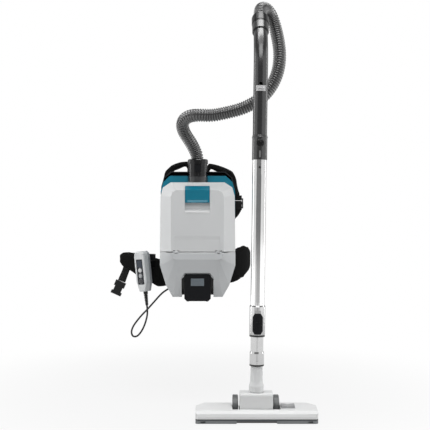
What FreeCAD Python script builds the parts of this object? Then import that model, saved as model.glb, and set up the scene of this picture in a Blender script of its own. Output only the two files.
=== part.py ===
"""Backpack vacuum cleaner: a cordless pack with harness, hose, telescopic wand and floor nozzle.

Millimetres, +Z up.  The origin is the centre of the pad face that rests on the wearer's back.
The wearer stands at +Y and the pack's front faces -Y, so "depth" below is the distance in front
of the wearer's back, measured towards -Y.
"""

import FreeCAD, Part
import math
import os
import Sketcher

V = FreeCAD.Vector
document = FreeCAD.newDocument("backpack_vacuum")
sheet = document.addObject("Spreadsheet::Sheet", "sizes")
nodes = {}


# ---------------------------------------------------------------- sizes and their expressions


class Size:
    """A number together with the expression that works it out from the sheet."""

    def __init__(self, value, text):
        self.value = float(value)
        self.text = text

    def __add__(self, other):
        return worked_out(self, "+", other)

    def __radd__(self, other):
        return worked_out(other, "+", self)

    def __sub__(self, other):
        return worked_out(self, "-", other)

    def __rsub__(self, other):
        return worked_out(other, "-", self)

    def __mul__(self, other):
        return worked_out(self, "*", other)

    def __rmul__(self, other):
        return worked_out(other, "*", self)

    def __truediv__(self, other):
        return worked_out(self, "/", other)

    def __neg__(self):
        return Size(-self.value, f"(-{self.text})")


def as_size(number):
    return number if isinstance(number, Size) else Size(number, f"({float(number)!r})")


def worked_out(first, sign, second):
    first, second = as_size(first), as_size(second)
    value = {
        "+": lambda: first.value + second.value,
        "-": lambda: first.value - second.value,
        "*": lambda: first.value * second.value,
        "/": lambda: first.value / second.value,
    }[sign]()
    return Size(value, f"({first.text} {sign} {second.text})")


def sine(angle):
    return Size(math.sin(math.radians(angle.value)), f"sin({angle.text} * 1 deg)")


def cosine(angle):
    return Size(math.cos(math.radians(angle.value)), f"cos({angle.text} * 1 deg)")


def size(name, value, note=""):
    """Write one driving dimension in the sheet and give back its named value."""
    row = size.rows = getattr(size, "rows", 0) + 1
    sheet.set(f"A{row}", name)
    sheet.set(f"B{row}", str(value))
    sheet.set(f"C{row}", note)
    sheet.setAlias(f"B{row}", name)
    return Size(value, f"sizes.{name}")


def bind(thing, target, number):
    number = as_size(number)
    thing.setExpression(target, number.text)
    return number.value


# pack layers, as depths in front of the wearer's back
pad_depth = size("pad_depth", 14, "back pads")
plate_depth = size("plate_depth", 6, "harness plate")
housing_depth = size("housing_depth", 72, "rear housing")
accent_depth = size("accent_depth", 20, "coloured middle frame")
cover_depth = size("cover_depth", 78, "front covers")
bevel_depth = size("bevel_depth", 40, "depth over which the front covers' facets slope")
pack_width = size("pack_width", 224)
cover_top = size("cover_top", 161, "height of the front covers above the origin")
cover_bottom = size("cover_bottom", 179, "drop of the front covers below the origin")
accent_rise = size("accent_rise", 21, "middle frame above the front covers")
housing_rise = size("housing_rise", 35, "rear housing above the front covers")
shell_wall = size("shell_wall", 2.5)
housing_wall = size("housing_wall", 3)
flange_width = size("flange_width", 9, "inward flange of the middle frame")
side_bevel = size("side_bevel", 35, "width of the sloping facet at each side")
brow_bevel = size("brow_bevel", 24, "height of the sloping facet at the top")
chin_bevel = size("chin_bevel", 113, "height of the sloping facet at the bottom")
corner_run = size("corner_run", 32, "top corner facet, sideways")
corner_drop = size("corner_drop", 41, "top corner facet, downwards")
hip_rise = size("hip_rise", 94, "height at which the lower corners begin")
foot_width = size("foot_width", 148, "width of the covers' bottom edge")
split_height = size("split_height", -44.5, "lid hinge line")
split_gap = size("split_gap", 3)
running_gap = size("running_gap", 0.3)
pin_gap = size("pin_gap", 0.06, "radial, round pins")
fine_gap = size("fine_gap", 0.05, "radial, between the inlet tube and its cuff")

plate_back = pad_depth
housing_back = plate_back + plate_depth
housing_front = housing_back + housing_depth
accent_front = housing_front + accent_depth
cover_front = accent_front + cover_depth
bevel_start = cover_front - bevel_depth
half = pack_width / 2
lid_bottom = split_height + split_gap / 2
shelf_top = split_height - split_gap / 2

# lid hinge and latch
hinge_inset = size("hinge_inset", 2.2, "hinge axis behind the front face")
hinge_pin_radius = size("hinge_pin_radius", 1.2)
knuckle_radius = size("knuckle_radius", 2.6)
knuckle_width = size("knuckle_width", 6)
hinge_spread = size("hinge_spread", 62, "middle of each hinge from the centre")
edge_chamfer = size("edge_chamfer", 1.6, "on the two edges beside the hinge line")
latch_width = size("latch_width", 72)
latch_top = size("latch_top", 149.5)
latch_bottom = size("latch_bottom", 100)
latch_wall = size("latch_wall", 3.4)
latch_proud = size("latch_proud", 0.8)
latch_pin_radius = size("latch_pin_radius", 2)
finger_drop = size("finger_drop", 21.5, "finger recess below the latch")
finger_depth = size("finger_depth", 9)
rim_height = size("rim_height", 7)
label_width = size("label_width", 132)
label_height = size("label_height", 35)
label_recess = size("label_recess", 1.2)
ledge_height = size("ledge_height", 11)

# battery bay
battery_width = size("battery_width", 78)
battery_height = size("battery_height", 94)
battery_depth = size("battery_depth", 56)
battery_top = size("battery_top", -97)
battery_front = size("battery_front", 168)
rail_depth = size("rail_depth", 5, "groove in each side of the battery")
rail_height = size("rail_height", 6)
bay_wall = size("bay_wall", 7)
bay_gap = size("bay_gap", 0.4)
arch_top = size("arch_top", -111)
arch_chamfer = size("arch_chamfer", 14)
button_width = size("button_width", 39)
button_height = size("button_height", 22)
button_travel = size("button_travel", 2.5)

# hose inlet and cuff
inlet_depth = size("inlet_depth", 115)
inlet_radius = size("inlet_radius", 25)
inlet_wall = size("inlet_wall", 3)
inlet_foot = size("inlet_foot", 122)
inlet_ring = size("inlet_ring", 17, "height of the grey ring under the cuff")
cuff_radius = size("cuff_radius", 28.5)
cuff_height = size("cuff_height", 52)
cuff_overlap = size("cuff_overlap", 23, "of the cuff over the inlet tube")
cuff_collar = size("cuff_collar", 13)
hose_radius = size("hose_radius", 19)
hose_bore = size("hose_bore", 15.5, "radius")
hose_root = size("hose_root", 17.3, "radius between the ribs")
rib_pitch = size("rib_pitch", 5.8)
hose_seat = size("hose_seat", 16, "of the hose below the top of the inlet tube")
tab_width = size("tab_width", 18)
tab_height = size("tab_height", 22)

# wand, in its own frame: local Z runs up the tubes from the nozzle's tilt axis
wand_x = size("wand_x", 163.3)
wand_depth = size("wand_depth", 350)
wand_foot = size("wand_foot", -463)
lean = size("lean", 0.8, "degrees, sideways")
outer_radius = size("outer_radius", 19)
tube_wall = size("tube_wall", 1.2)
outer_bottom = size("outer_bottom", 200)
outer_top = size("outer_top", 720)
inner_radius = size("inner_radius", 17.5)
inner_bottom = size("inner_bottom", 118)
inner_top = size("inner_top", 570)
groove_width = size("groove_width", 9)
groove_depth = size("groove_depth", 0.6)
sleeve_radius = size("sleeve_radius", 21.7)
sleeve_height = size("sleeve_height", 84)
sleeve_bottom = size("sleeve_bottom", 198)
collar_radius = size("collar_radius", 19.8)
collar_height = size("collar_height", 39)
socket_radius = size("socket_radius", 20.6, "handle's lower socket")
socket_bottom = size("socket_bottom", 677)
socket_height = size("socket_height", 65)
grip_radius = size("grip_radius", 19.6)
grip_bore = size("grip_bore", 16)
bend_start = size("bend_start", 932)
bend_radius = size("bend_radius", 150)
bend_angle = size("bend_angle", 35, "degrees, backwards")
neck_top_radius = size("neck_top_radius", 16.1)
hose_cup_radius = size("hose_cup_radius", 23)
hose_cup_height = size("hose_cup_height", 34)

# floor nozzle, about the tilt axis
nozzle_width = size("nozzle_width", 328)
nozzle_front = size("nozzle_front", 45, "in front of the tilt axis")
nozzle_rear = size("nozzle_rear", 40, "behind the tilt axis")
nozzle_corner = size("nozzle_corner", 28, "rear corner, sideways")
floor_drop = size("floor_drop", 30, "sole below the tilt axis")
base_height = size("base_height", 12.5)
nozzle_rise = size("nozzle_rise", 9, "top of the shell above the tilt axis")
knuckle_half = size("knuckle_half", 44.5)
barrel_radius = size("barrel_radius", 21)
neck_bore = size("neck_bore", 13.5)
trunnion_radius = size("trunnion_radius", 6)
wheel_radius = size("wheel_radius", 31)
wheel_width = size("wheel_width", 15)
wheel_back = size("wheel_back", 30, "wheel axis behind the tilt axis")
axle_radius = size("axle_radius", 4)
bay_clear = size("bay_clear", 2)
cheek_width = size("cheek_width", 5)
pedal_offset = size("pedal_offset", 86)
pedal_width = size("pedal_width", 36)
pedal_length = size("pedal_length", 26)
pedal_angle = size("pedal_angle", 12, "degrees of travel")
brush_travel = size("brush_travel", 5)


# ---------------------------------------------------------------- building blocks


def body(label):
    thing = document.addObject("PartDesign::Body", label)
    thing.Label = label
    return thing


def sketch_on(owner, role, offset=0):
    """A sketch on one of the body's own planes, moved along the plane's normal."""
    plane = next(f for f in owner.Origin.OriginFeatures if f.Role == role)
    sketch = owner.newObject("Sketcher::SketchObject", owner.Label + "_sketch")
    sketch.AttachmentSupport = (plane, [""])
    sketch.MapMode = "FlatFace"
    bind(sketch, "AttachmentOffset.Base.z", offset)
    return sketch


def outline(sketch, corners):
    """Straight lines through the corners, each held by two distances from the sketch's origin."""
    corners = [(as_size(x), as_size(y)) for x, y in corners]
    count = len(corners)
    spots = [V(x.value, y.value, 0) for x, y in corners]
    lines = [Part.LineSegment(spots[i], spots[(i + 1) % count]) for i in range(count)]
    sketch.addGeometry(lines, False)
    joins = [Sketcher.Constraint("Coincident", i, 2, (i + 1) % count, 1) for i in range(count)]
    sketch.addConstraint(joins)
    for i, corner in enumerate(corners):
        for kind, number in zip(("DistanceX", "DistanceY"), corner):
            hold = sketch.addConstraint(Sketcher.Constraint(kind, -1, 1, i, 1, number.value))
            bind(sketch, f"Constraints[{hold}]", number)
    return sketch


def mirrored(right_side):
    """A closed outline from its right half, listed from one end of the middle line to the other."""
    left_side = [(-as_size(x), y) for x, y in reversed(right_side) if as_size(x).value > 0]
    return list(right_side) + left_side


def padded(owner, sketch, length):
    pad = owner.newObject("PartDesign::Pad", owner.Label + "_pad")
    pad.Profile = sketch
    bind(pad, "Length", length)
    return pad


def prism(label, corners, back, front, role="XZ_Plane"):
    """An outline pushed from one depth to another: x and z outline, forwards along -Y."""
    thing = body(label)
    padded(thing, outline(sketch_on(thing, role, back), corners), front - back)
    return thing


def side_prism(label, corners, left, right):
    """An outline of (depth, height) corners pushed sideways from left to right."""
    profile = [(-as_size(depth), height) for depth, height in corners]
    return prism(label, profile, left, right, "YZ_Plane")


def plan_prism(label, corners, bottom, top):
    """An outline of (x, depth) corners pushed upwards from bottom to top."""
    profile = [(x, -as_size(depth)) for x, depth in corners]
    return prism(label, profile, bottom, top, "XY_Plane")


def lofted(label, sections):
    """A ruled body through outlines at several depths: sections of (depth, corners)."""
    thing = body(label)
    sketches = [outline(sketch_on(thing, "XZ_Plane", d), corners) for d, corners in sections]
    loft = thing.newObject("PartDesign::AdditiveLoft", label + "_loft")
    loft.Profile = sketches[0]
    loft.Sections = sketches[1:]
    loft.Ruled = True
    return thing


def turned(label, profile):
    """A body of revolution about its own Z axis from (radius, height) corners."""
    thing = body(label)
    sketch = outline(sketch_on(thing, "XZ_Plane"), profile)
    spin = thing.newObject("PartDesign::Revolution", label + "_revolution")
    spin.Profile = sketch
    spin.ReferenceAxis = (sketch, ["V_Axis"])
    spin.Angle = 360
    return thing


def ring(label, bore, radius, bottom, top):
    return turned(label, [(bore, bottom), (radius, bottom), (radius, top), (bore, top)])


def softened(thing, radius, chosen):
    """Round the edges of a body's last feature that the given test picks."""
    document.recompute()
    tip = thing.Tip
    picked = [f"Edge{i}" for i, edge in enumerate(tip.Shape.Edges, 1) if chosen(edge)]
    fillet = thing.newObject("PartDesign::Fillet", thing.Label + "_fillet")
    fillet.Base = (tip, picked)
    bind(fillet, "Radius", radius)
    return thing


def runs_along(edge, axis):
    direction = edge.Vertexes[-1].Point - edge.Vertexes[0].Point
    return direction.Length > 0 and abs(direction.normalize().dot(axis)) > 0.999


def lies_at(edge, axis, place):
    """Whether the whole edge lies in the plane at that place along the axis."""
    return all(abs(v.Point.dot(axis) - place) < 0.01 for v in edge.Vertexes)


def block(label, left, right, back, front, bottom, top):
    """A plain box between two sideways places, two depths and two heights."""
    thing = document.addObject("Part::Box", label)
    thing.Label = label
    sizes = (("Length", as_size(right) - left), ("Width", as_size(front) - back))
    for prop, number in sizes + (("Height", as_size(top) - bottom),):
        setattr(thing, prop, bind(thing, prop, number))
    place(thing, left, front, bottom)
    return thing


TURNS = {
    "X": FreeCAD.Rotation(V(0, 1, 0), 90),
    "Y": FreeCAD.Rotation(V(1, 0, 0), -90),
    "-Y": FreeCAD.Rotation(V(1, 0, 0), 90),
    "Z": FreeCAD.Rotation(),
}


def rod(label, radius, length, x, depth, z, along="Z"):
    """A cylinder from a starting point along one of the axes."""
    thing = document.addObject("Part::Cylinder", label)
    thing.Label = label
    thing.Radius = bind(thing, "Radius", radius)
    thing.Height = bind(thing, "Height", length)
    place(thing, x, depth, z, TURNS[along])
    return thing


def place(thing, x, depth, z, turn=None):
    """Put an object's origin at a place bound to the sheet."""
    x, y, z = as_size(x), -as_size(depth), as_size(z)
    thing.Placement = FreeCAD.Placement(V(x.value, y.value, z.value), turn or FreeCAD.Rotation())
    for axis, number in zip("xyz", (x, y, z)):
        bind(thing, f"Placement.Base.{axis}", number)
    return thing


def fused(label, *things):
    thing = document.addObject("Part::MultiFuse", label)
    thing.Label = label
    thing.Shapes = list(things)
    return thing


def without(label, base, *tools):
    """Cut tools from the base one after another; a list counts as one tool."""
    for step, tool in enumerate(tools, 1):
        last = step == len(tools)
        if isinstance(tool, list):
            tool = fused(f"{label}_group_{step}", *tool) if len(tool) > 1 else tool[0]
        cut = document.addObject("Part::Cut", label if last else f"{label}_cut_{step}")
        cut.Label = label if last else f"{label}_cut_{step}"
        cut.Base = base
        cut.Tool = tool
        base = cut
    return base


def overlap_of(label, first, second):
    thing = document.addObject("Part::MultiCommon", label)
    thing.Label = label
    thing.Shapes = [first, second]
    return thing


def node(thing):
    """Keep an object as a finished sub-part under its label."""
    nodes[thing.Label] = thing
    return thing


def shaped(label, shape):
    """A sub-part whose form neither a body nor a primitive gives."""
    thing = document.addObject("Part::Feature", label)
    thing.Label = label
    thing.Shape = shape
    return thing


# ---------------------------------------------------------------- front covers


def lid_side(inset, bottom):
    """Right half of the lid's outline at the frame, from the top middle to the bottom middle."""
    return [
        (0, cover_top - inset),
        (half - corner_run - inset / 2, cover_top - inset),
        (half - corner_run * 0.28 - inset, cover_top - corner_drop * 0.37 - inset / 2),
        (half - corner_run * 0.06 - inset, cover_top - corner_drop),
        (half - inset, bottom),
        (0, bottom),
    ]


def lid_front(inset, bottom):
    """The same corners on the lid's flat front face."""
    return [
        (0, cover_top - brow_bevel - inset),
        (half - side_bevel - corner_run * 0.5 - inset, cover_top - brow_bevel - inset),
        (half - side_bevel - corner_run * 0.15 - inset, cover_top - brow_bevel * 1.25 - inset),
        (half - side_bevel - inset, cover_top - brow_bevel * 1.8),
        (half - side_bevel - inset, bottom),
        (0, bottom),
    ]


def lower_side(inset, top):
    """Right half of the lower cover's outline at the frame, from the top middle down."""
    return [
        (0, top),
        (half - inset, top),
        (half - inset, hip_rise - cover_bottom),
        (half - 18 - inset, 35 - cover_bottom + inset / 2),
        (foot_width / 2 - inset, inset - cover_bottom),
        (0, inset - cover_bottom),
    ]


def lower_front(inset, top):
    """The same corners on the flat front face, whose foot is the top of the chin facet."""
    chin = chin_bevel - cover_bottom + inset
    return [
        (0, top),
        (half - side_bevel - inset, top),
        (half - side_bevel - 7 - inset, chin + 2),
        (half - side_bevel - 14 - inset, chin),
        (half - side_bevel - 24 - inset, chin),
        (0, chin),
    ]


def cover_solid(label, side, front, inset, edge, back):
    """One cover as a solid: straight sides, then facets that slope in to the flat front."""
    rear = mirrored(side(inset, edge))
    face = mirrored(front(inset, edge))
    face_depth = cover_front - inset
    start = bevel_start - inset * 0.35
    return lofted(label, [(back, rear), (start, rear), (face_depth, face)])


def latch_line(shift, top, bottom):
    """The latch's outer line in (depth, height), parallel to the brow and the front face."""
    slope = brow_bevel / bevel_depth
    face = cover_front + shift
    knee = cover_top - brow_bevel + shift * 0.3
    crest_depth = face - (top - knee) / slope
    return [(crest_depth, top), (face, knee), (face, bottom)]


def make_lid():
    solid = cover_solid("lid_solid", lid_side, lid_front, 0, lid_bottom, accent_front)
    hollow = cover_solid("lid_hollow", lid_side, lid_front, shell_wall, lid_bottom - 1,
                         accent_front - 1)
    well_half = latch_width / 2 + shell_wall + 1
    well_block = block("latch_well_block", -well_half, well_half,
                       cover_front - finger_depth - shell_wall - 15, cover_front + 1,
                       latch_bottom - finger_drop - shell_wall, latch_top + 4)
    well = overlap_of("latch_well_outside", well_block,
                      cover_solid("lid_solid_again", lid_side, lid_front, 0, lid_bottom,
                                  accent_front))
    outer = latch_line(latch_proud + 8, latch_top + 0.6, latch_bottom)
    floor = cover_front - finger_depth
    pocket = side_prism(
        "latch_pocket",
        [outer[0], (cover_front + 8, outer[1][1]), (cover_front + 8, latch_bottom - finger_drop),
         (floor + 2, latch_bottom - finger_drop), (floor, latch_bottom - finger_drop + 3),
         (floor, latch_top - 16), (floor - 14, latch_top - 10), (floor - 14, latch_top + 0.6)],
        -latch_width / 2 - 0.6, latch_width / 2 + 0.6)
    pin_holes = rod("latch_pin_holes", latch_pin_radius + pin_gap, latch_width + 8,
                    -latch_width / 2 - 4, latch_axis_depth, latch_axis_height, "X")
    rim = block("finger_rim", -latch_width / 2, latch_width / 2, cover_front - 1,
                cover_front + 1.2, latch_bottom - finger_drop - rim_height,
                latch_bottom - finger_drop)
    label = side_prism(
        "label_recess",
        [(cover_front, lid_bottom + label_height + ledge_height),
         (cover_front - label_recess, lid_bottom + label_height),
         (cover_front - label_recess, lid_bottom + 1.5), (cover_front + 4, lid_bottom + 1.5),
         (cover_front + 4, lid_bottom + label_height + ledge_height)],
        -label_width / 2, label_width / 2)
    notch = rod("inlet_notch", cuff_radius + 2, 40, 0, inlet_depth, cover_top - 20)
    edge = side_prism(
        "lid_edge_chamfer",
        [(cover_front - edge_chamfer, lid_bottom - 1), (cover_front - edge_chamfer, lid_bottom),
         (cover_front, lid_bottom + edge_chamfer), (cover_front + 2, lid_bottom + edge_chamfer),
         (cover_front + 2, lid_bottom - 1)],
        -half, half)
    gaps = knuckle_notches("lid_notch", lid_bottom - 1, lid_bottom + knuckle_radius + 1, (-1, 1))
    shell = fused("lid_shell", without("lid_tray", solid, hollow), well, rim)
    trimmed = without("lid_trimmed", shell, pocket, label, notch, edge, pin_holes, gaps)
    joined = fused("lid_with_knuckles", trimmed, *knuckles("lid_knuckle", (0,), lid_bottom + 4, 1))
    return without("dust_lid", joined, hinge_bores("lid_hinge_bore"))


def hinge_places(steps):
    """Sideways start of each knuckle: step 0 is the lid's, -1 and 1 stand either side of it."""
    spots = []
    for hand in (-1, 1):
        for step in steps:
            middle = hinge_spread * hand + (knuckle_width + running_gap) * step
            spots.append((f"{hand}_{step}".replace("-", "m"), middle - knuckle_width / 2))
    return spots


def knuckles(label, steps, reach, way):
    """Barrels round the hinge axis with a web to their own cover's wall."""
    made = []
    axis_depth = cover_front - hinge_inset
    for name, start in hinge_places(steps):
        barrel = rod(f"{label}_{name}", knuckle_radius, knuckle_width, start, axis_depth,
                     split_height, "X")
        low, high = (split_height, reach) if way > 0 else (reach, split_height)
        web = block(f"{label}_web_{name}", start, start + knuckle_width,
                    axis_depth - knuckle_radius, axis_depth, low, high)
        made += [barrel, web]
    return made


def knuckle_notches(label, low, high, steps):
    """Room in one cover for the other cover's barrels."""
    room = 0.3
    return [
        block(f"{label}_{name}", start - room, start + knuckle_width + room,
              cover_front - hinge_inset - knuckle_radius - 0.6, cover_front + 2, low, high)
        for name, start in hinge_places(steps)
    ]


def hinge_bores(label):
    return [
        rod(f"{label}_{name}", hinge_pin_radius + pin_gap, knuckle_width + 2, start - 1,
            cover_front - hinge_inset, split_height, "X")
        for name, start in hinge_places((0,))
    ]


def make_hinge_pins():
    """Each pin is held by the lower cover's two outer barrels and runs through the lid's."""
    length = knuckle_width * 3 + running_gap * 2
    pins = [
        rod(f"hinge_pin_{hand}", hinge_pin_radius, length, hinge_spread * sign - length / 2,
            cover_front - hinge_inset, split_height, "X")
        for hand, sign in (("left", -1), ("right", 1))
    ]
    return fused("lid_hinge_pins", *pins)


def make_lower_cover():
    solid = cover_solid("lower_solid", lower_side, lower_front, 0, shelf_top, accent_front)
    hollow = cover_solid("lower_hollow", lower_side, lower_front, shell_wall,
                         shelf_top - shell_wall, accent_front - 1)
    arch_half = battery_width / 2 + bay_wall + 1
    arch = prism(
        "battery_arch",
        mirrored([(0, arch_top), (arch_half - arch_chamfer, arch_top),
                  (arch_half, arch_top - arch_chamfer), (arch_half, -cover_bottom - 5),
                  (0, -cover_bottom - 5)]),
        accent_front - 1, cover_front + 1)
    bevel = lofted(
        "arch_bevel",
        [(depth, mirrored([(0, arch_top + rise), (arch_half - arch_chamfer + rise, arch_top + rise),
                           (arch_half + rise, arch_top - arch_chamfer + rise),
                           (arch_half + rise, arch_top - 45), (0, arch_top - 45)]))
         for depth, rise in ((cover_front - 24, 0), (cover_front - 11, 7))])
    edge = side_prism(
        "shelf_edge_chamfer",
        [(cover_front - edge_chamfer, shelf_top + 1), (cover_front - edge_chamfer, shelf_top),
         (cover_front, shelf_top - edge_chamfer), (cover_front + 2, shelf_top - edge_chamfer),
         (cover_front + 2, shelf_top + 1)],
        -half, half)
    gaps = knuckle_notches("shelf_notch", shelf_top - knuckle_radius - 1, shelf_top + 1, (0,))
    tray = without("lower_tray", solid, hollow)
    lip = overlap_of("arch_lip", cover_solid("lower_solid_again", lower_side, lower_front, 0,
                                             shelf_top, accent_front),
                     prism("arch_lip_block",
                           mirrored([(0, arch_top + shell_wall),
                                     (arch_half - arch_chamfer + shell_wall, arch_top + shell_wall),
                                     (arch_half + shell_wall, arch_top - arch_chamfer + 1),
                                     (arch_half + shell_wall, -cover_bottom),
                                     (0, -cover_bottom)]),
                           cover_front - 62, cover_front))
    battery_room = block("battery_room", -battery_width / 2 - 0.8, battery_width / 2 + 0.8,
                         accent_front - 1, battery_front + 0.8, -cover_bottom - 5,
                         battery_top + 8)
    cheek_room = block("cheek_room", 0.5 - arch_half, arch_half - 0.5, accent_front - 1,
                       battery_front - 3.2, -cover_bottom - 5, battery_top + 8)
    trimmed = without("lower_trimmed", fused("lower_with_lip", tray, lip), arch, bevel, edge,
                      battery_room, cheek_room, gaps)
    joined = fused("lower_with_knuckles", trimmed,
                   *knuckles("shelf_knuckle", (-1, 1), shelf_top - 4, -1))
    pins = [
        rod(f"shelf_pin_seat_{hand}", hinge_pin_radius, knuckle_width * 3 + running_gap * 2,
            hinge_spread * sign - (knuckle_width * 3 + running_gap * 2) / 2,
            cover_front - hinge_inset, split_height, "X")
        for hand, sign in (("left", -1), ("right", 1))
    ]
    return without("lower_cover", joined, pins)


latch_axis_depth = cover_front - 15
latch_axis_height = latch_top - 6


def make_latch():
    """A bent plate that follows the brow, with a finger edge and a pivot pin at its top."""
    outer = latch_line(latch_proud, latch_top, latch_bottom)
    inner = latch_line(latch_proud - latch_wall, latch_top - latch_wall * 0.8, latch_bottom)
    plate = side_prism("latch_plate", outer + list(reversed(inner)), -latch_width / 2,
                       latch_width / 2)
    grip = side_prism(
        "latch_grip",
        [(cover_front + latch_proud, latch_bottom + 8), (cover_front + latch_proud + 1.8,
                                                         latch_bottom + 2),
         (cover_front + latch_proud + 1.8, latch_bottom), (cover_front, latch_bottom)],
        -latch_width / 2 + 6, latch_width / 2 - 6)
    pin = rod("latch_pin", latch_pin_radius, latch_width + 6, -latch_width / 2 - 3,
              latch_axis_depth, latch_axis_height, "X")
    return fused("lid_latch", plate, grip, pin)


# ---------------------------------------------------------------- frame and rear housing


def frame_side(rise, inset):
    """Right half of the outline of the middle frame or the rear housing."""
    top = cover_top + rise
    return [
        (0, top - inset),
        (half - corner_run + 4 - inset, top - inset),
        (half - 8 - inset, top - 18 - inset * 0.5),
        (half - inset, top - 46),
        (half - inset, hip_rise - cover_bottom + 4),
        (half - 18 - inset, 38 - cover_bottom + inset * 0.5),
        (foot_width / 2 - inset, inset + 3 - cover_bottom),
        (0, inset + 3 - cover_bottom),
    ]


def make_accent_frame():
    """The coloured frame between housing and covers, with its flange and the inlet's seat."""
    band = prism("accent_band", mirrored(frame_side(accent_rise, 0)), housing_front, accent_front)
    window = prism("accent_window", mirrored(frame_side(0, flange_width)), housing_front - 1,
                   accent_front + 1)
    relief = prism("accent_relief", mirrored(frame_side(accent_rise, shell_wall)),
                   housing_front + 4, accent_front - shell_wall)
    seat = rod("inlet_seat", cuff_radius + 2 - running_gap, 6, 0, inlet_depth,
               cover_top - shell_wall - 9)
    bore = rod("inlet_seat_bore", inlet_radius, 60, 0, inlet_depth, cover_top - 40)
    notch = rod("inlet_cuff_notch", cuff_radius + 1.5, 60, 0, inlet_depth, cover_top)
    strap = block("inlet_seat_strap", -cuff_radius, cuff_radius, housing_front,
                  housing_front + shell_wall, cover_top - shell_wall - 9, cover_top + accent_rise)
    hollowed = without("accent_hollowed", band, window, relief)
    return without("accent_frame", fused("accent_with_seat", hollowed, seat, strap), bore, notch)


def screw_places():
    """The four screws that hold the harness plate to the rear housing."""
    return [(hand * 78, height) for hand in (-1, 1) for height in (135, -120)]


screw_radius = 2


def make_base_housing():
    """The rear tray: back wall, bulkhead under the dust chamber, vents and screw bosses."""
    outside = prism("housing_outside", mirrored(frame_side(housing_rise, 0)), housing_back,
                    housing_front)
    inside = prism("housing_inside", mirrored(frame_side(housing_rise, housing_wall)),
                   housing_back + housing_wall, housing_front + 1)
    notch = rod("housing_cuff_notch", cuff_radius + 1.5, 80, 0, inlet_depth, cover_top - 20)
    bulkhead = block("bulkhead", -half + housing_wall, half - housing_wall, housing_back,
                     housing_front, bulkhead_height, bulkhead_height + housing_wall)
    throat = rod("bulkhead_throat", motor_inlet_radius, housing_wall + 2, 0, motor_depth,
                 bulkhead_height - 1)
    bosses = []
    holes = []
    for number, (x, height) in enumerate(screw_places()):
        bosses.append(rod(f"screw_boss_{number}", screw_radius + 2.5, 10, x,
                          housing_back + housing_wall - 0.5, height, "-Y"))
        holes.append(rod(f"screw_hole_{number}", screw_radius, 14, x, housing_back - 1, height,
                         "-Y"))
    slots = [
        block(f"vent_{hand}_{step}", start, start + 12, housing_back + 14, housing_front - 14,
              -142 + step * 11, -137 + step * 11)
        for hand, start in (("left", -half - 1), ("right", half - 11))
        for step in range(6)
    ]
    gland_hole = rod("gland_hole", gland_radius, 24, 0, 0, 0)
    place(gland_hole, gland_x + 8.7, gland_depth, gland_height + 5, GLAND_TURN)
    tray = without("housing_tray", outside, inside)
    filled = fused("housing_filled", tray, bulkhead, *bosses)
    return without("base_housing", filled, notch, throat, gland_hole, holes, slots)


def make_screws():
    made = []
    for number, (x, height) in enumerate(screw_places()):
        made.append(rod(f"screw_head_{number}", screw_radius * 2, 2.4, x, plate_back + 0.4,
                        height, "-Y"))
        made.append(rod(f"screw_shank_{number}", screw_radius, 17, x, plate_back + 0.5, height,
                        "-Y"))
    return fused("housing_screws", *made)


def make_harness_plate():
    """The stiff plate behind the housing, with slots for the shoulder and hip straps."""
    plate = prism(
        "plate_blank",
        mirrored([(0, 184), (70, 184), (88, 166), (88, -140), (76, -160), (0, -160)]),
        plate_back, housing_back)
    windows = [
        block(f"plate_window_{step}", -26, 26, plate_back - 1, housing_back + 1, low, low + 34)
        for step, low in enumerate((-120, -62, 60, 112))
    ]
    seats = [
        rod(f"plate_screw_seat_{number}", screw_radius * 2 + 0.3, 2.9, x, plate_back - 0.1,
            height, "-Y")
        for number, (x, height) in enumerate(screw_places())
    ]
    holes = [
        rod(f"plate_screw_hole_{number}", screw_radius + 0.2, 12, x, plate_back - 1, height, "-Y")
        for number, (x, height) in enumerate(screw_places())
    ]
    return without("harness_plate", plate, windows, seats, holes)


# ---------------------------------------------------------------- air path inside the pack

bulkhead_height = size("bulkhead_height", -66)
motor_inlet_radius = size("motor_inlet_radius", 20)
motor_depth = size("motor_depth", 58)
motor_radius = size("motor_radius", 34)
motor_height = size("motor_height", 84)
fan_radius = size("fan_radius", 30)
fan_height = size("fan_height", 16)
shaft_radius = size("shaft_radius", 3)
blade_count = 9
gland_x = size("gland_x", -84, "where the cable meets the housing's lower left wall")
gland_depth = size("gland_depth", 56)
gland_height = size("gland_height", -158.5)
gland_radius = size("gland_radius", 5)
# The gland points outwards, square to that slanting wall.
GLAND_TURN = FreeCAD.Rotation(V(0, 1, 0), -119.7)


def make_inlet_port():
    """The tube that the hose cuff swivels on, with the grey ring that shows below the cuff."""
    ring_top = inlet_foot_ring + inlet_ring
    port = turned(
        "inlet_port",
        [(inlet_radius - inlet_wall, inlet_foot), (inlet_radius, inlet_foot),
         (inlet_radius, inlet_foot_ring), (cuff_radius, inlet_foot_ring),
         (cuff_radius, ring_top), (inlet_radius, ring_top),
         (inlet_radius, ring_top + cuff_overlap), (inlet_radius - inlet_wall,
                                                   ring_top + cuff_overlap)])
    return place(port, 0, inlet_depth, 0)


inlet_foot_ring = cover_top + 1
cuff_bottom = inlet_foot_ring + inlet_ring + running_gap


def make_bag_holder():
    plate = block("holder_plate", -48, 48, inlet_depth - 34, inlet_depth + 34, inlet_foot + 1,
                  inlet_foot + 5)
    collar = rod("holder_collar", inlet_radius + 5, 14, 0, inlet_depth, inlet_foot + 1)
    hole = rod("holder_hole", inlet_radius + running_gap, 30, 0, inlet_depth, inlet_foot - 5)
    return without("bag_holder", fused("holder_blank", plate, collar), hole)


def make_dust_bag():
    """A filled paper bag: a soft block with drawn-in edges under its mouth."""
    top = inlet_foot - 0.1
    bag = prism("dust_bag", [(-78, -26), (78, -26), (78, top), (-78, top)], 32, 162)
    return softened(bag, 22, lambda edge: runs_along(edge, V(0, 1, 0)))


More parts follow.
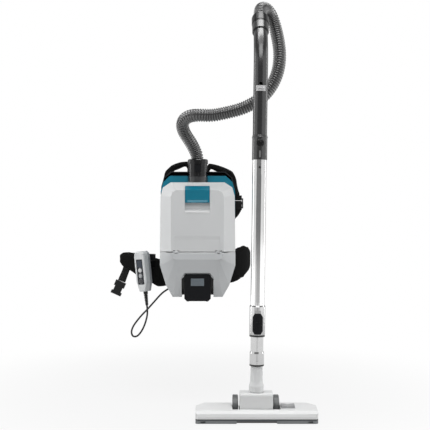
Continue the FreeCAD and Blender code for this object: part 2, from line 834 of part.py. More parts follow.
def make_filter():
    """The filter cassette over the bulkhead: a frame with pleats across it."""
    bottom = bulkhead_height + housing_wall + running_gap
    frame = block("filter_frame", -70, 70, 30, 88, bottom, bottom + 24)
    pleats = [
        block(f"pleat_{step}", -66 + step * 11, -61 + step * 11, 34, 84, bottom + 6, bottom + 25)
        for step in range(12)
    ]
    return without("hepa_filter", frame, pleats)


def make_motor():
    top = bulkhead_height - running_gap
    floor = top - motor_height
    case = turned(
        "motor_housing",
        [(motor_inlet_radius, top), (motor_radius, top), (motor_radius, top - 34),
         (motor_radius - 5, top - 42), (motor_radius - 5, floor), (shaft_radius + pin_gap, floor),
         (shaft_radius + pin_gap, floor + 3), (motor_radius - 8, floor + 3),
         (motor_radius - 8, top - 40), (motor_radius - 2.5, top - 32),
         (motor_radius - 2.5, top - 3), (motor_inlet_radius, top - 3)])
    place(case, 0, motor_depth, 0)
    stator = ring("motor_stator", fan_radius * 0.5, motor_radius - 8, top - 74, top - 46)
    place(stator, 0, motor_depth, 0)
    return case, stator


def make_impeller():
    """Backplate, hub, shaft and rotor in one turning piece, with swept blades."""
    top = bulkhead_height - 6
    hub = turned(
        "fan_hub",
        [(0, top), (7, top), (9, top - fan_height + 4), (fan_radius, top - fan_height + 2),
         (fan_radius, top - fan_height), (shaft_radius, top - fan_height),
         (shaft_radius, top - 40), (fan_radius * 0.45, top - 40),
         (fan_radius * 0.45, top - 66), (shaft_radius, top - 66),
         (shaft_radius, top - motor_height + 3), (0, top - motor_height + 3)])
    blades = [hub]
    for step in range(blade_count):
        turn = FreeCAD.Rotation(V(0, 0, 1), 360 * step / blade_count)
        blade = document.addObject("Part::Box", f"blade_{step}")
        blade.Length = bind(blade, "Length", fan_radius - 9)
        blade.Width = 1.2
        blade.Height = bind(blade, "Height", fan_height - 4)
        start = turn.multVec(V(7, 3, 0))
        blade.Placement = FreeCAD.Placement(V(start.x, start.y, 0), turn)
        bind(blade, "Placement.Base.z", top - fan_height + 1)
        blades.append(blade)
    fan = fused("impeller", *blades)
    return place(fan, 0, motor_depth, 0)


def make_controller():
    """The control board on the back wall of the motor chamber, with its larger parts."""
    back = housing_back + housing_wall
    board = block("board", 40, 72, back + 4, back + 5.6, -132, -84)
    feet = [
        rod(f"board_foot_{x}_{-z}", 2.5, 4.2, x, back, z, "-Y")
        for x in (44, 68) for z in (-128, -88)
    ]
    parts = [
        block("board_heat_sink", 43, 59, back + 5.5, back + 18, -110, -90),
        block("board_connector", 61, 71, back + 5.5, back + 16, -106, -96),
        rod("board_capacitor", 7, 20, 56, back + 5.5, -121, "-Y"),
    ]
    return fused("controller_board", board, *feet, *parts)


# ---------------------------------------------------------------- battery


def make_battery():
    wide = battery_width / 2
    back = battery_front - battery_depth
    bottom = battery_top - battery_height
    case = prism("battery_blank",
                 mirrored([(0, battery_top), (wide - 3, battery_top), (wide, battery_top - 3),
                           (wide, bottom + 8), (wide - 8, bottom), (0, bottom)]),
                 back, battery_front)
    softened(case, 3, lambda edge: lies_at(edge, V(0, 1, 0), -battery_front.value))
    grooves = [
        block(f"battery_groove_{hand}", start, start + rail_depth + 1, back + 8,
              back + 8 + rail_height, bottom + 30, battery_top + 1)
        for hand, start in (("left", -wide - 1), ("right", wide - rail_depth))
    ]
    slots = [
        block(f"contact_slot_{x}", x - 1.5, x + 1.5, back - 1, back + 8, battery_top - 30,
              battery_top + 1)
        for x in (-18, 0, 18)
    ]
    pocket = block("battery_button_pocket", -button_width / 2 - 0.3, button_width / 2 + 0.3,
                   battery_front - 7, battery_front + 1, button_bottom - 0.3,
                   button_bottom + button_height + 0.3)
    foot_gap = block("battery_foot_gap", -wide + 14, wide - 14, battery_front - 12,
                     battery_front + 1, bottom - 1, bottom + 3)
    return without("battery_case", case, pocket, foot_gap, grooves, slots)


button_bottom = battery_top - 48


def make_battery_button():
    button = prism("battery_button",
                   [(-button_width / 2, button_bottom), (button_width / 2, button_bottom),
                    (button_width / 2, button_bottom + button_height),
                    (-button_width / 2, button_bottom + button_height)],
                   battery_front - 4, battery_front + 1.6)
    front = -(battery_front.value + 1.6)
    return softened(button, 1.5, lambda edge: lies_at(edge, V(0, 1, 0), front))


def make_terminal_block():
    """The black carrier round the battery: back plate, cheeks with rails, contact blades."""
    wide = battery_width / 2 + bay_gap
    outer = battery_width / 2 + bay_wall
    back = battery_front - battery_depth - bay_gap
    plate = block("bay_plate", -outer, outer, back - 6, back, -166, battery_top + 6)
    cheeks = [
        block(f"bay_cheek_{hand}", start, start + bay_wall - bay_gap, back - 6,
              battery_front - 4, -153, arch_top - 2)
        for hand, start in (("left", -outer), ("right", wide))
    ]
    rails = [
        block(f"bay_rail_{hand}", start, start + rail_depth - 0.5 + 1, back + 8 + bay_gap * 2,
              back + 8 + rail_height, -153, arch_top - 2)
        for hand, start in (("left", -wide - 1), ("right", wide - rail_depth + 0.5))
    ]
    blades = [
        block(f"contact_blade_{x}", x - 0.5, x + 0.5, back - 1, back + 6, battery_top - 26,
              battery_top - 4)
        for x in (-18, 0, 18)
    ]
    struts = [
        block(f"bay_strut_{hand}", start, start + 8, housing_back + housing_wall, back - 5,
              -150, -138)
        for hand, start in (("left", -outer), ("right", outer - 8))
    ]
    return fused("terminal_block", plate, *cheeks, *rails, *blades, *struts)


# ---------------------------------------------------------------- harness: pads, straps, belt

pad_width = size("pad_width", 150)
lower_pad_width = size("lower_pad_width", 112)
pad_gap = size("pad_gap", 18, "between the two back pads")
strap_width = size("strap_width", 56, "along the depth")
strap_thickness = size("strap_thickness", 17)
wing_thickness = size("wing_thickness", 14)
webbing_width = size("webbing_width", 25)
webbing_thickness = size("webbing_thickness", 1.8)


def make_back_pad(label, width, bottom, top):
    """A foam pad with a crowned edge; its flat middle rests on the wearer."""
    wide = width / 2
    cut = 14
    pad = prism(label,
                mirrored([(0, top), (wide - cut, top), (wide, as_size(top) - cut),
                          (wide, as_size(bottom) + cut), (wide - cut, bottom), (0, bottom)]),
                0, plate_back)
    return softened(pad, 7, lambda edge: lies_at(edge, V(0, 1, 0), 0))


def band_outline(centres, thickness):
    """The outline of a band of one thickness along a line of centres in the x-z plane."""
    over, under = [], []
    for i, (x, z) in enumerate(centres):
        before = centres[max(i - 1, 0)]
        after = centres[min(i + 1, len(centres) - 1)]
        run = V(after[0] - before[0], after[1] - before[1], 0).normalize()
        over.append((thickness * (-run.y / 2) + x, thickness * (run.x / 2) + z))
        under.append((thickness * (run.y / 2) + x, thickness * (-run.x / 2) + z))
    return over + list(reversed(under))


def make_shoulder_strap(label, centres):
    """A padded strap that rises from the plate, arches over and drops beside the pack."""
    strap = prism(label, band_outline(centres, strap_thickness), plate_back - strap_width,
                  plate_back - running_gap)
    return softened(strap, 4, lambda edge: runs_across_depth(edge))


def runs_across_depth(edge):
    """Whether the whole edge lies on the strap's front or back face."""
    return not runs_along(edge, V(0, 1, 0))


def strip(label, stations, thickness):
    """A flat band through stations of (x, depth, z, height), upright and of one thickness."""
    sections = []
    count = len(stations)
    middles = [V(x, -depth, z) for x, depth, z, _ in stations]
    for i, (_, _, _, height) in enumerate(stations):
        run = middles[min(i + 1, count - 1)] - middles[max(i - 1, 0)]
        run.z = 0
        side = V(0, 0, 1).cross(run.normalize()) * (thickness / 2)
        up = V(0, 0, height / 2)
        cut = min(height * 0.12, 10)
        lift = V(0, 0, height / 2 - cut)
        slim = side * 0.45
        spots = [up - slim, up + slim, lift + side, side - lift, slim - up, -up - slim,
                 -side - lift, lift - side]
        ring_of_spots = [middles[i] + spot for spot in spots]
        sections.append(Part.makePolygon(ring_of_spots + ring_of_spots[:1]))
    return shaped(label, Part.makeLoft(sections, True, True))


def ribbon(stations, width, thickness):
    """A thin strap through (place, width direction) stations, places in (x, depth, z)."""
    sections = []
    middles = [V(x, -depth, z) for (x, depth, z), _ in stations]
    for i, (_, across) in enumerate(stations):
        run = (middles[min(i + 1, len(middles) - 1)] - middles[max(i - 1, 0)]).normalize()
        across = V(*across)
        across = (across - run * across.dot(run)).normalize()
        out = run.cross(across) * (thickness / 2)
        across = across * (width / 2)
        spots = [middles[i] + s for s in (across + out, out - across, -across - out,
                                          across - out)]
        sections.append(Part.makePolygon(spots + spots[:1]))
    return Part.makeLoft(sections, True, True)


def tilted_block(wide, thick, tall, x, depth, z, turn):
    """A box about its own middle, turned and put in place."""
    box = Part.makeBox(wide, thick, tall, V(-wide / 2, -thick / 2, -tall / 2))
    box.Placement = FreeCAD.Placement(V(x, -depth, z), turn)
    return box


STRAP_RIGHT = [(28, 180), (27, 204), (34, 220), (52, 214.5), (84, 203), (102, 196), (108, 184),
               (111, 158), (116, 136), (121, 125), (121, 118)]
STRAP_LEFT = [(-28, 180), (-27, 206), (-34, 227), (-54, 224), (-80, 215), (-99, 197),
              (-104, 168), (-100, 118)]
LADDER_RIGHT = (124, -18, 101.2)
LADDER_LEFT = (-100, -18, 101.2)
WING_LEFT = [(-84, 7, -112, 92), (-126, 4, -117, 97), (-165, -4, -104, 88),
             (-198, -13, -91, 78), (-226, -22, -81, 62), (-243, -28, -78, 48),
             (-253, -31, -74, 26)]
WING_RIGHT = [(84, 7, -104, 104), (118, 0, -92, 110), (143, -16, -82, 106),
              (154, -42, -76, 84), (158, -74, -76, 60), (158, -92, -78, 40)]


def make_ladder_locks():
    """The two sliding buckles under the shoulder straps: a frame with two bars each."""
    locks = []
    for x, depth, z in (LADDER_LEFT, LADDER_RIGHT):
        frame = tilted_block(34, 7, 32, x, depth, z, FreeCAD.Rotation())
        for lift in (-8, 8):
            frame = frame.cut(tilted_block(27, 9, 8, x, depth, z + lift, FreeCAD.Rotation()))
        locks.append(frame)
    return shaped("ladder_locks", Part.makeCompound(locks))


def make_strap_webbing():
    """The lower halves of the shoulder straps, from the ladder locks to the harness plate."""
    wide, thick = webbing_width.value, webbing_thickness.value
    across = (1, 0, 0)
    bands = []
    for (x, depth, z), foot in ((LADDER_LEFT, -69.2), (LADDER_RIGHT, 69.2)):
        bands.append(ribbon(
            [((x, depth - 0.2, z - 5), across), ((x, depth - 5, z - 11), across),
             ((x, depth - 5, z - 19), across), ((x - foot * 0.08, depth - 3, z - 60), across),
             ((foot, -14, -60), across), ((foot, 9, -118), across),
             ((foot, 13, -134), across), ((foot, 13, -150), across)], wide, thick))
    return shaped("strap_webbing", Part.makeCompound(bands))


def make_belt_webbing():
    wide, thick = webbing_width.value, webbing_thickness.value
    left = ribbon([((-224, -30.4, -84), (1, -0.33, 0.2)), ((-233, -33.8, -112), (1, -0.33, 0.3)),
                   ((-246.4, -30, -147.1), (1, 0, 0.4))], wide, thick)
    right = ribbon([((150, -93, -78), (0, 0, 1)), ((128, -97, -80), (0, 0, 1)),
                    ((101.8, -94, -84), (0, 0, 1))], wide, thick)
    return shaped("belt_webbing", Part.makeCompound([left, right]))


def make_buckle_socket():
    """The open half of the side-release buckle, at the end of the left webbing."""
    turn = FreeCAD.Rotation(V(0, 1, 0), 24)
    x, depth, z = -256.5, -29, -168
    case = tilted_block(34, 13, 44, x, depth, z, turn)
    mouth = tilted_block(27, 8, 30, x - 4, depth, z - 9, turn)
    for hand in (-1, 1):
        window = turn.multVec(V(17 * hand, 0, -4))
        mouth = mouth.fuse(tilted_block(9, 14, 17, x + window.x, depth, z + window.z, turn))
    return shaped("buckle_socket", case.cut(mouth))


def make_buckle_plug():
    """The pronged half, at the end of the right webbing."""
    x, depth, z = 82, -93, -87
    stem = tilted_block(16, 10, 32, x + 10, depth, z, FreeCAD.Rotation())
    for lift in (-11, 0, 11):
        wide = 26 if lift else 20
        stem = stem.fuse(tilted_block(wide, 5, 4, x - 8, depth, z + lift, FreeCAD.Rotation()))
    return shaped("buckle_plug", stem)


# ---------------------------------------------------------------- wired remote on the left wing

remote_x = size("remote_x", -170)
remote_depth = size("remote_depth", 42)
remote_height = size("remote_height", -110)
remote_yaw = size("remote_yaw", -38, "degrees")
remote_tilt = size("remote_tilt", -5.7, "degrees")
remote_width = size("remote_width", 42)
remote_thickness = size("remote_thickness", 32)
remote_length = size("remote_length", 124)
key_radius = size("key_radius", 6)
key_pitch = size("key_pitch", 17)
key_travel = size("key_travel", 1)
relief_length = size("relief_length", 44)
cable_radius = size("cable_radius", 2.75)


def put_on_remote(thing):
    """Move a finished piece from the remote's own frame to its place on the belt."""
    turn = FreeCAD.Rotation(V(0, 1, 0), remote_tilt.value).multiply(
        FreeCAD.Rotation(V(0, 0, 1), remote_yaw.value))
    return place(thing, remote_x, remote_depth, remote_height, turn)


def remote_outline(inset=0):
    wide, tall = remote_width / 2, remote_length / 2
    return mirrored([(0, tall), (wide * 0.55, tall), (wide * 0.9, tall - 6), (wide, tall - 16),
                     (wide, -tall + 30), (wide * 0.55, -tall), (0, -tall)])


remote_joint = remote_thickness / 2 - 20
key_front = remote_thickness / 2
key_places = [key_pitch * step + 4 - key_pitch for step in (1, 0, -1)]


def make_remote_front():
    shell = prism("remote_front_blank", remote_outline(), remote_joint, remote_thickness / 2)
    front = -remote_thickness.value / 2
    softened(shell, 4, lambda edge: lies_at(edge, V(0, 1, 0), front))
    panel = prism("keypad_recess",
                  mirrored([(0, 38), (12, 38), (13.5, 36), (13.5, -38), (12, -40), (0, -40)]),
                  remote_thickness / 2 - 1, remote_thickness / 2 + 1)
    inside = prism("remote_front_inside",
                   mirrored([(0, 50), (15, 50), (15, -46), (8, -56), (0, -56)]),
                   remote_joint - 1, remote_thickness / 2 - 5.5)
    wells = [
        rod(f"key_well_{step}", key_radius + 0.25, 8, 0, remote_thickness / 2 - 6, height, "-Y")
        for step, height in enumerate(key_places)
    ]
    cut = without("remote_case_front", shell, panel, inside, wells)
    return put_on_remote(cut)


def make_remote_rear():
    """The rear shell, with ribbed grips along both sides."""
    shell = prism("remote_rear_blank", remote_outline(), -remote_thickness / 2, remote_joint)
    back = remote_thickness.value / 2
    softened(shell, 5, lambda edge: lies_at(edge, V(0, 1, 0), back))
    inside = prism("remote_rear_inside",
                   mirrored([(0, 50), (15, 50), (15, -46), (8, -56), (0, -56)]),
                   -remote_thickness / 2 + 3, remote_joint + 1)
    grips = [
        block(f"grip_groove_{hand}_{step}", start, start + 2.2, -6, remote_joint + 1,
              -28 + step * 5, -25.5 + step * 5)
        for hand, start in (("left", -remote_width / 2 - 1), ("right", remote_width / 2 - 1.2))
        for step in range(8)
    ]
    return put_on_remote(without("remote_case_rear", shell, inside, grips))


def make_remote_keys():
    keys = []
    for step, (name, height) in enumerate(zip(("power", "mode", "boost"), key_places)):
        key = rod(f"remote_key_{name}", key_radius, 4.4, 0, key_front - 4.4 + 0.7, height, "-Y")
        keys.append(fused(f"remote_button_{name}", key,
                          rod(f"key_flange_{name}", key_radius - 2, 0.3, 0, key_front - 4.6,
                              height, "-Y")))
    return [put_on_remote(key) for key in keys]


clip_width = size("clip_width", 20)
clip_wall = size("clip_wall", 2.6)
clip_drop = size("clip_drop", 43, "of both leaves below the wing's top edge")
clip_x = size("clip_x", -148)
clip_depth = size("clip_depth", -0.5)
clip_height = size("clip_height", -61.2, "underside of the loop, just over the wing")
clip_yaw = size("clip_yaw", -11.6, "degrees, along the wing")


def make_remote_clip():
    """The remote's clip: an arm on its back to a loop that hooks over the belt wing."""
    back = -remote_thickness / 2
    arm = put_on_remote(fused(
        "clip_arm", block("clip_post", -8, 8, back - 34, back - 0.05, 12, 30),
        block("clip_foot", -11, 11, back - 2.6, back - 0.05, 4, 36)))
    turn = FreeCAD.Rotation(V(0, 0, 1), clip_yaw.value)
    wall, drop, top = clip_wall.value, clip_drop.value, clip_height.value
    room = wing_thickness.value / 2 + running_gap.value

    def leaf(offset, wide, thick, tall, height):
        shift = turn.multVec(V(0, offset, 0))
        return tilted_block(wide, thick, tall, clip_x.value + shift.x,
                            clip_depth.value - shift.y, height, turn)

    leaves = [leaf(side * (room + wall / 2), clip_width.value, wall, drop + wall,
                   top + wall - (drop + wall) / 2) for side in (-1, 1)]
    bridge = leaf(0, clip_width.value, 2 * room + wall, wall, top + wall / 2)
    loop = shaped("clip_loop", leaves[0].fuse(leaves[1]).fuse(bridge).removeSplitter())
    behind = shaped("clip_room", leaf(40 - room, 60, 80, 90, top - 20))
    return fused("remote_clip", without("clip_arm_end", arm, behind), loop)


def make_strain_relief():
    tall = remote_length / 2
    sleeve = turned("relief_sleeve",
                    [(cable_radius, -tall - relief_length), (cable_radius + 1.6,
                                                             -tall - relief_length),
                     (cable_radius + 4.2, -tall - 4), (cable_radius + 4.2, -tall),
                     (cable_radius, -tall)])
    rings = [
        ring(f"relief_groove_{step}", cable_radius + 1.3, cable_radius + 8,
             -tall - 12 - step * 5, -tall - 10.2 - step * 5)
        for step in range(6)
    ]
    return put_on_remote(without("remote_strain_relief", sleeve, rings))


# ---------------------------------------------------------------- cords: the cable and the hose

# Both routes are lists of (x, depth, z) chosen by hand, in the order from the part's exit.
CABLE_ROUTE = [
    (-159.47, 42, -215.48), (-157.8, 42, -232.4), (-158.4, 43, -247), (-162, 45.2, -263),
    (-168, 49, -281), (-177, 53, -298), (-189, 54, -311), (-203, 48, -312), (-209, 38, -299),
    (-204, 29, -283), (-192, 24, -266), (-176, 23, -247), (-160, 26, -231), (-145, 32, -214),
    (-131, 40, -198), (-117.5, 49, -182.5), (-102.2, 56, -168.9), (-77.9, 56, -155)]
HOSE_ROUTE = [
    (0, 115, 187), (0, 115, 238), (-10.5, 121.6, 263.4), (-23.8, 136.5, 286),
    (-39.1, 150.8, 307.2), (-45.5, 169.2, 326.1), (-39.3, 189.9, 342.5), (-20.9, 207.4, 351.7),
    (5, 217.1, 352.3), (43.7, 214.7, 351.1), (86, 217, 359.1), (126, 219, 369),
    (160.1, 218, 385), (190.1, 214, 405.1), (213, 210, 433), (229, 206, 464), (238, 203, 498),
    (240, 200, 535), (235.9, 196.9, 570.1), (229.4, 192.7, 601.8), (222.7, 195.1, 627.1),
    (211.7, 206.5, 646.8), (198.7, 224.5, 656.3), (186.5, 245.2, 653.7), (178.6, 263.5, 640),
    (178, 295.6, 594.1),
]
ARC_SHARE = 0.45


def rounded_path(route):
    """Straight runs joined by the largest tangent arcs that their lengths allow."""
    spots = [V(x, -depth, z) for x, depth, z in route]
    edges = []
    radii = []
    start = spots[0]
    for before, spot, after in zip(spots, spots[1:], spots[2:]):
        back, ahead = before - spot, after - spot
        reach = ARC_SHARE * min(back.Length, ahead.Length)
        back.normalize()
        ahead.normalize()
        half_turn = (math.pi - back.getAngle(ahead)) / 2
        radius = reach / math.tan(half_turn)
        radii.append(radius)
        middle = (back + ahead).normalize()
        crown = spot + middle * (radius / math.cos(half_turn) - radius)
        arc_start, arc_end = spot + back * reach, spot + ahead * reach
        edges.append(Part.LineSegment(start, arc_start).toShape())
        edges.append(Part.Arc(arc_start, crown, arc_end).toShape())
        start = arc_end
    edges.append(Part.LineSegment(start, spots[-1]).toShape())
    return Part.Wire(edges), radii


def report(label, path, radii, volume, section):
    print(f"{label}: length {path.Length:.1f}, arc radii "
          + ", ".join(f"{r:.0f}" for r in radii)
          + f", volume over section times length {volume / (section * path.Length):.4f}")


def make_remote_cable():
    path, radii = rounded_path(CABLE_ROUTE)
    start = path.Edges[0]
    section = Part.Wire(Part.makeCircle(cable_radius.value, start.valueAt(start.FirstParameter),
                                        start.tangentAt(start.FirstParameter)))
    tube = path.makePipeShell([section], True, False)
    report("remote cable", path, radii, tube.Volume, math.pi * cable_radius.value ** 2)
    return shaped("remote_cable", tube)


def make_cable_gland():
    """A rubber grommet in the housing's lower left wall."""
    gland = turned("cable_gland",
                   [(cable_radius + 0.1, -1), (gland_radius - 0.1, -1), (gland_radius - 0.1, 9),
                    (gland_radius + 2, 9), (gland_radius + 2, 11), (cable_radius + 2, 12),
                    (cable_radius + 0.1, 12)])
    place(gland, gland_x + 7.6, gland_depth, gland_height + 4.4, GLAND_TURN)
    return gland


# No stretch of the hose runs along this direction, so every circle can take its X axis from it.
steady_axis = V(0.3, -0.9, -0.2).normalize()


def circles(path, spots):
    """Circles of given radius at given distances, all with the same heading for their X axis."""
    at = ordered(path)
    wires = []
    for distance, radius in spots:
        point, forward = at(distance)
        heading = steady_axis - forward * steady_axis.dot(forward)
        turn = FreeCAD.Rotation(heading, forward.cross(heading), forward, "ZXY")
        circle = Part.makeCircle(radius, V(), V(0, 0, 1))
        circle.Placement = FreeCAD.Placement(point, turn)
        wires.append(Part.Wire(circle))
    return wires


def ordered(path):
    """Distance along the path to point and direction, with every piece run the same way."""
    pieces = []
    last = path.Edges[0].Vertexes[0].Point
    for edge in path.Edges:
        first = edge.valueAt(edge.FirstParameter)
        forwards = (first - last).Length < 0.01
        pieces.append((edge, forwards))
        last = edge.valueAt(edge.LastParameter if forwards else edge.FirstParameter)

    def at(distance):
        for edge, forwards in pieces:
            if distance <= edge.Length or edge is pieces[-1][0]:
                break
            distance -= edge.Length
        distance = min(distance, edge.Length)
        spot = edge.getParameterByLength(distance if forwards else edge.Length - distance)
        tangent = edge.tangentAt(spot)
        return edge.valueAt(spot), tangent if forwards else -tangent

    return at


def skin_through(wires, step):
    """Ruled faces through circles, a few at a time, because a long loft turns itself over."""
    faces = []
    for first in range(0, len(wires) - 1, step):
        faces += Part.makeLoft(wires[first:first + step + 1], False, True).Faces
    return faces


def make_hose():
    """The ribbed hose: crests and roots of equal pitch over a smooth bore."""
    path, radii = rounded_path(HOSE_ROUTE)
    count = int(path.Length / rib_pitch.value)
    pitch = path.Length / count
    crest, root = hose_radius.value, hose_root.value
    profile = ((0, root), (0.2, crest), (0.62, crest), (0.82, root))
    outer_spots = [((step + share) * pitch, radius) for step in range(count)
                   for share, radius in profile] + [(path.Length, root)]
    bore_spots = [(step * pitch, hose_bore.value) for step in range(count + 1)]
    outer = circles(path, outer_spots)
    bore = circles(path, bore_spots)
    skin = skin_through(outer, 8) + [face.reversed() for face in skin_through(bore, 2)]
    ends = [Part.Face([outer[i], bore[i]], "Part::FaceMakerBullseye") for i in (0, -1)]
    shell = Part.makeShell(skin + ends)
    shell.sewShape()
    tube = Part.makeSolid(shell)
    if tube.Volume < 0:
        tube.reverse()
    print(f"hose: {count} ribs")
    middle = 0.62 * crest + 0.38 * root
    report("hose", path, radii, tube.Volume, math.pi * (middle ** 2 - hose_bore.value ** 2))
    return shaped("hose", tube)


def make_hose_cuff():
    """The swivelling cuff: it wraps the inlet tube and its sleeve holds the hose inside it."""
    outer = cuff_radius
    bore = inlet_radius + fine_gap
    sleeve = inlet_radius - inlet_wall - running_gap
    grip_bore_radius = hose_radius + running_gap
    top = cuff_bottom + cuff_height
    web = cuff_bottom + cuff_overlap + 0.6
    foot = 187
    cuff = turned(
        "hose_cuff_blank",
        [(bore, cuff_bottom), (outer, cuff_bottom), (outer, top - cuff_collar),
         (outer + 2, top - cuff_collar), (outer + 2, top - 3), (outer, top),
         (grip_bore_radius, top), (grip_bore_radius, foot), (sleeve, foot), (sleeve, web),
         (bore, web)])
    place(cuff, 0, inlet_depth, 0)
    flats = [
        ring(f"cuff_groove_{step}", cuff_radius - 0.9, cuff_radius + 4,
             cuff_bottom + 5 + step * 5, cuff_bottom + 7.5 + step * 5)
        for step in range(6)
    ]
    for groove in flats:
        place(groove, 0, inlet_depth, 0)
    window = block("cuff_window", -tab_width / 2 - 0.4, tab_width / 2 + 0.4,
                   inlet_depth + inlet_radius + 0.8, inlet_depth + cuff_radius + 6,
                   tab_bottom - 0.4, tab_bottom + tab_height + 0.4)
    return without("hose_cuff", cuff, window, flats)


tab_bottom = cuff_bottom + 13


def make_cuff_tab():
    """The press tab in the cuff's window that frees the cuff from the inlet tube."""
    slab = block("cuff_tab_slab", -tab_width / 2, tab_width / 2,
                 inlet_depth + inlet_radius + 2, inlet_depth + cuff_radius + 4, tab_bottom,
                 tab_bottom + tab_height)
    shape = ring("cuff_tab_ring", inlet_radius + 2.6, cuff_radius + 0.6, tab_bottom,
                 tab_bottom + tab_height)
    place(shape, 0, inlet_depth, 0)
    return overlap_of("cuff_tab", slab, shape)


# ---------------------------------------------------------------- handle and wand


def put_on_wand(thing):
    """Lean a piece that was made about the wand's own axis, and stand it on the tilt axis."""
    thing.Placement = FreeCAD.Placement(V(), FreeCAD.Rotation(V(0, 1, 0), lean.value))
    bind(thing, "Placement.Rotation.Angle", lean)
    for axis, number in zip("xyz", (wand_x, -wand_depth, wand_foot)):
        bind(thing, f"Placement.Base.{axis}", number)
    return thing


socket_top = socket_bottom + socket_height
grip_end_height = bend_start + bend_radius * sine(bend_angle)
grip_end_back = bend_radius * (1 - cosine(bend_angle))
grip_tail = size("grip_tail", 44, "straight end of the grip behind its bend")


def beyond_bend(label, radius, start, length):
    """A cylinder along the grip's bent end, from a distance past the end of the bend."""
    thing = document.addObject("Part::Cylinder", label)
    thing.Label = label
    thing.Radius = bind(thing, "Radius", radius)
    thing.Height = bind(thing, "Height", length)
    thing.Placement = FreeCAD.Placement(V(), FreeCAD.Rotation(V(1, 0, 0), -bend_angle.value))
    bind(thing, "Placement.Rotation.Angle", -bend_angle)
    bind(thing, "Placement.Base.y", grip_end_back + as_size(start) * sine(bend_angle))
    bind(thing, "Placement.Base.z", grip_end_height + as_size(start) * cosine(bend_angle))
    return thing


def bend_of(label, radius):
    """The grip's bend as part of a torus about a line behind the grip."""
    thing = document.addObject("Part::Torus", label)
    thing.Label = label
    thing.Radius1 = bind(thing, "Radius1", bend_radius)
    thing.Radius2 = bind(thing, "Radius2", radius)
    bind(thing, "Angle3", bend_angle)
    turn = FreeCAD.Rotation(V(0, -1, 0), V(0, 0, 1), V(-1, 0, 0), "XYZ")
    return place(thing, 0, -bend_radius, bend_start, turn)


def make_grip():
    """The bent handle tube with its lower socket, rings, vent and the lock's collar."""
    straight = turned(
        "grip_straight",
        [(0, socket_bottom), (socket_radius, socket_bottom), (socket_radius, socket_top - 6),
         (socket_radius + 1, socket_top - 5), (socket_radius + 1, socket_top - 3),
         (socket_radius, socket_top - 2), (socket_radius, socket_top),
         (grip_radius, socket_top + 2), (grip_radius, bend_start), (0, bend_start)])
    tail = beyond_bend("grip_tail_blank", grip_radius, 0, grip_tail)
    cup = beyond_bend("grip_cup", hose_cup_radius, grip_tail - 26, 26)
    lock_boss = rod("lock_boss", lock_radius + 3, socket_radius + 3.4, 0, 0, lock_height, "-Y")
    solid = fused("grip_solid", straight, bend_of("grip_bend", grip_radius), tail, cup, lock_boss)
    socket = rod("tube_socket", outer_radius + running_gap * 0.3, outer_top - socket_bottom + 1,
                 0, 0, socket_bottom - 1)
    bore = rod("grip_bore", grip_bore, bend_start - outer_top, 0, 0, outer_top)
    tail_bore = beyond_bend("tail_bore", grip_bore, 0, grip_tail + 1)
    swivel_seat = beyond_bend("swivel_seat", hose_cup_radius - 3, grip_tail - 22, 23)
    vent = rod("grip_vent", 5, grip_radius + 2, 0, 0, slider_bottom + 20, "-Y")
    lock_hole = rod("lock_hole", lock_radius + 0.3, socket_radius + 9, 0, 0, lock_height, "-Y")
    slot = block("lock_slot", -2.5, 2.5, outer_radius - 1, socket_radius + 2,
                 socket_bottom + 6, socket_bottom + 24)
    return put_on_wand(without("handle_grip", solid, socket, bore,
                               bend_of("bend_bore", grip_bore), tail_bore, swivel_seat, vent,
                               lock_hole, slot))


lock_radius = size("lock_radius", 8)
lock_travel = size("lock_travel", 2)
lock_height = socket_bottom + 44
slider_bottom = size("slider_bottom", 862)
slider_height = size("slider_height", 15)
slider_travel = size("slider_travel", 12)
slider_wall = size("slider_wall", 2.4)


def make_air_slider():
    """A curved shutter on the front of the grip, over the vent hole."""
    shell = ring("slider_shell", grip_radius + 0.2, grip_radius + 0.2 + slider_wall,
                 slider_bottom, slider_bottom + slider_height)
    front = block("slider_front", -13, 13, grip_radius * 0.5, grip_radius + 5, slider_bottom,
                  slider_bottom + slider_height)
    ridge = block("slider_ridge", -8, 8, grip_radius + slider_wall - 0.4,
                  grip_radius + slider_wall + 1.2, slider_bottom + 6, slider_bottom + 9)
    return put_on_wand(fused("air_slider", overlap_of("slider_plate", shell, front), ridge))


def make_lock_button():
    """The button in the socket's collar that frees the wand from the handle."""
    button = rod("lock_button_disc", lock_radius, 3.6, 0, socket_radius + 0.6, lock_height, "-Y")
    dome = rod("lock_button_dome", lock_radius - 2.5, 1, 0, socket_radius + 4, lock_height, "-Y")
    return put_on_wand(fused("handle_lock_button", button, dome))


def make_handle_cuff():
    """The hose's end cuff: its spigot turns in the grip's seat, with two latch wings outside."""
    seat = hose_cup_radius - 3
    spigot = beyond_bend("cuff_spigot", seat - pin_gap, grip_tail - 21.7, 22.4)
    flange = beyond_bend("cuff_flange", hose_cup_radius, grip_tail + running_gap, 5)
    barrel = beyond_bend("cuff_barrel", hose_cup_radius + 1, grip_tail + running_gap + 5,
                         hose_cup_height - 12)
    rim = beyond_bend("cuff_rim", hose_cup_radius - 0.5,
                      grip_tail + running_gap + hose_cup_height - 8, 6)
    hose_hole = beyond_bend("cuff_hose_hole", hose_radius + running_gap, cup_floor, 60)
    air_hole = beyond_bend("cuff_air_hole", grip_bore - 1, grip_tail - 30, 60)
    blank = fused("handle_cuff_blank", spigot, flange, barrel, rim)
    return put_on_wand(without("handle_cuff", blank, hose_hole, air_hole))


cup_floor = size("cup_floor", 47.6, "end of the hose past the bend")


def make_outer_tube():
    """The upper aluminium tube, with its guide groove and pin hole in front."""
    tube = ring("outer_tube_blank", outer_radius - tube_wall, outer_radius, outer_bottom,
                outer_top)
    groove = block("outer_groove", -groove_width / 2, groove_width / 2,
                   outer_radius - groove_depth, outer_radius + 2, outer_bottom + 90,
                   socket_bottom - 40)
    pin_hole = rod("outer_pin_hole", 3, 10, 0, outer_radius - 5, socket_bottom - 21, "-Y")
    return put_on_wand(without("outer_tube", tube, groove, pin_hole))


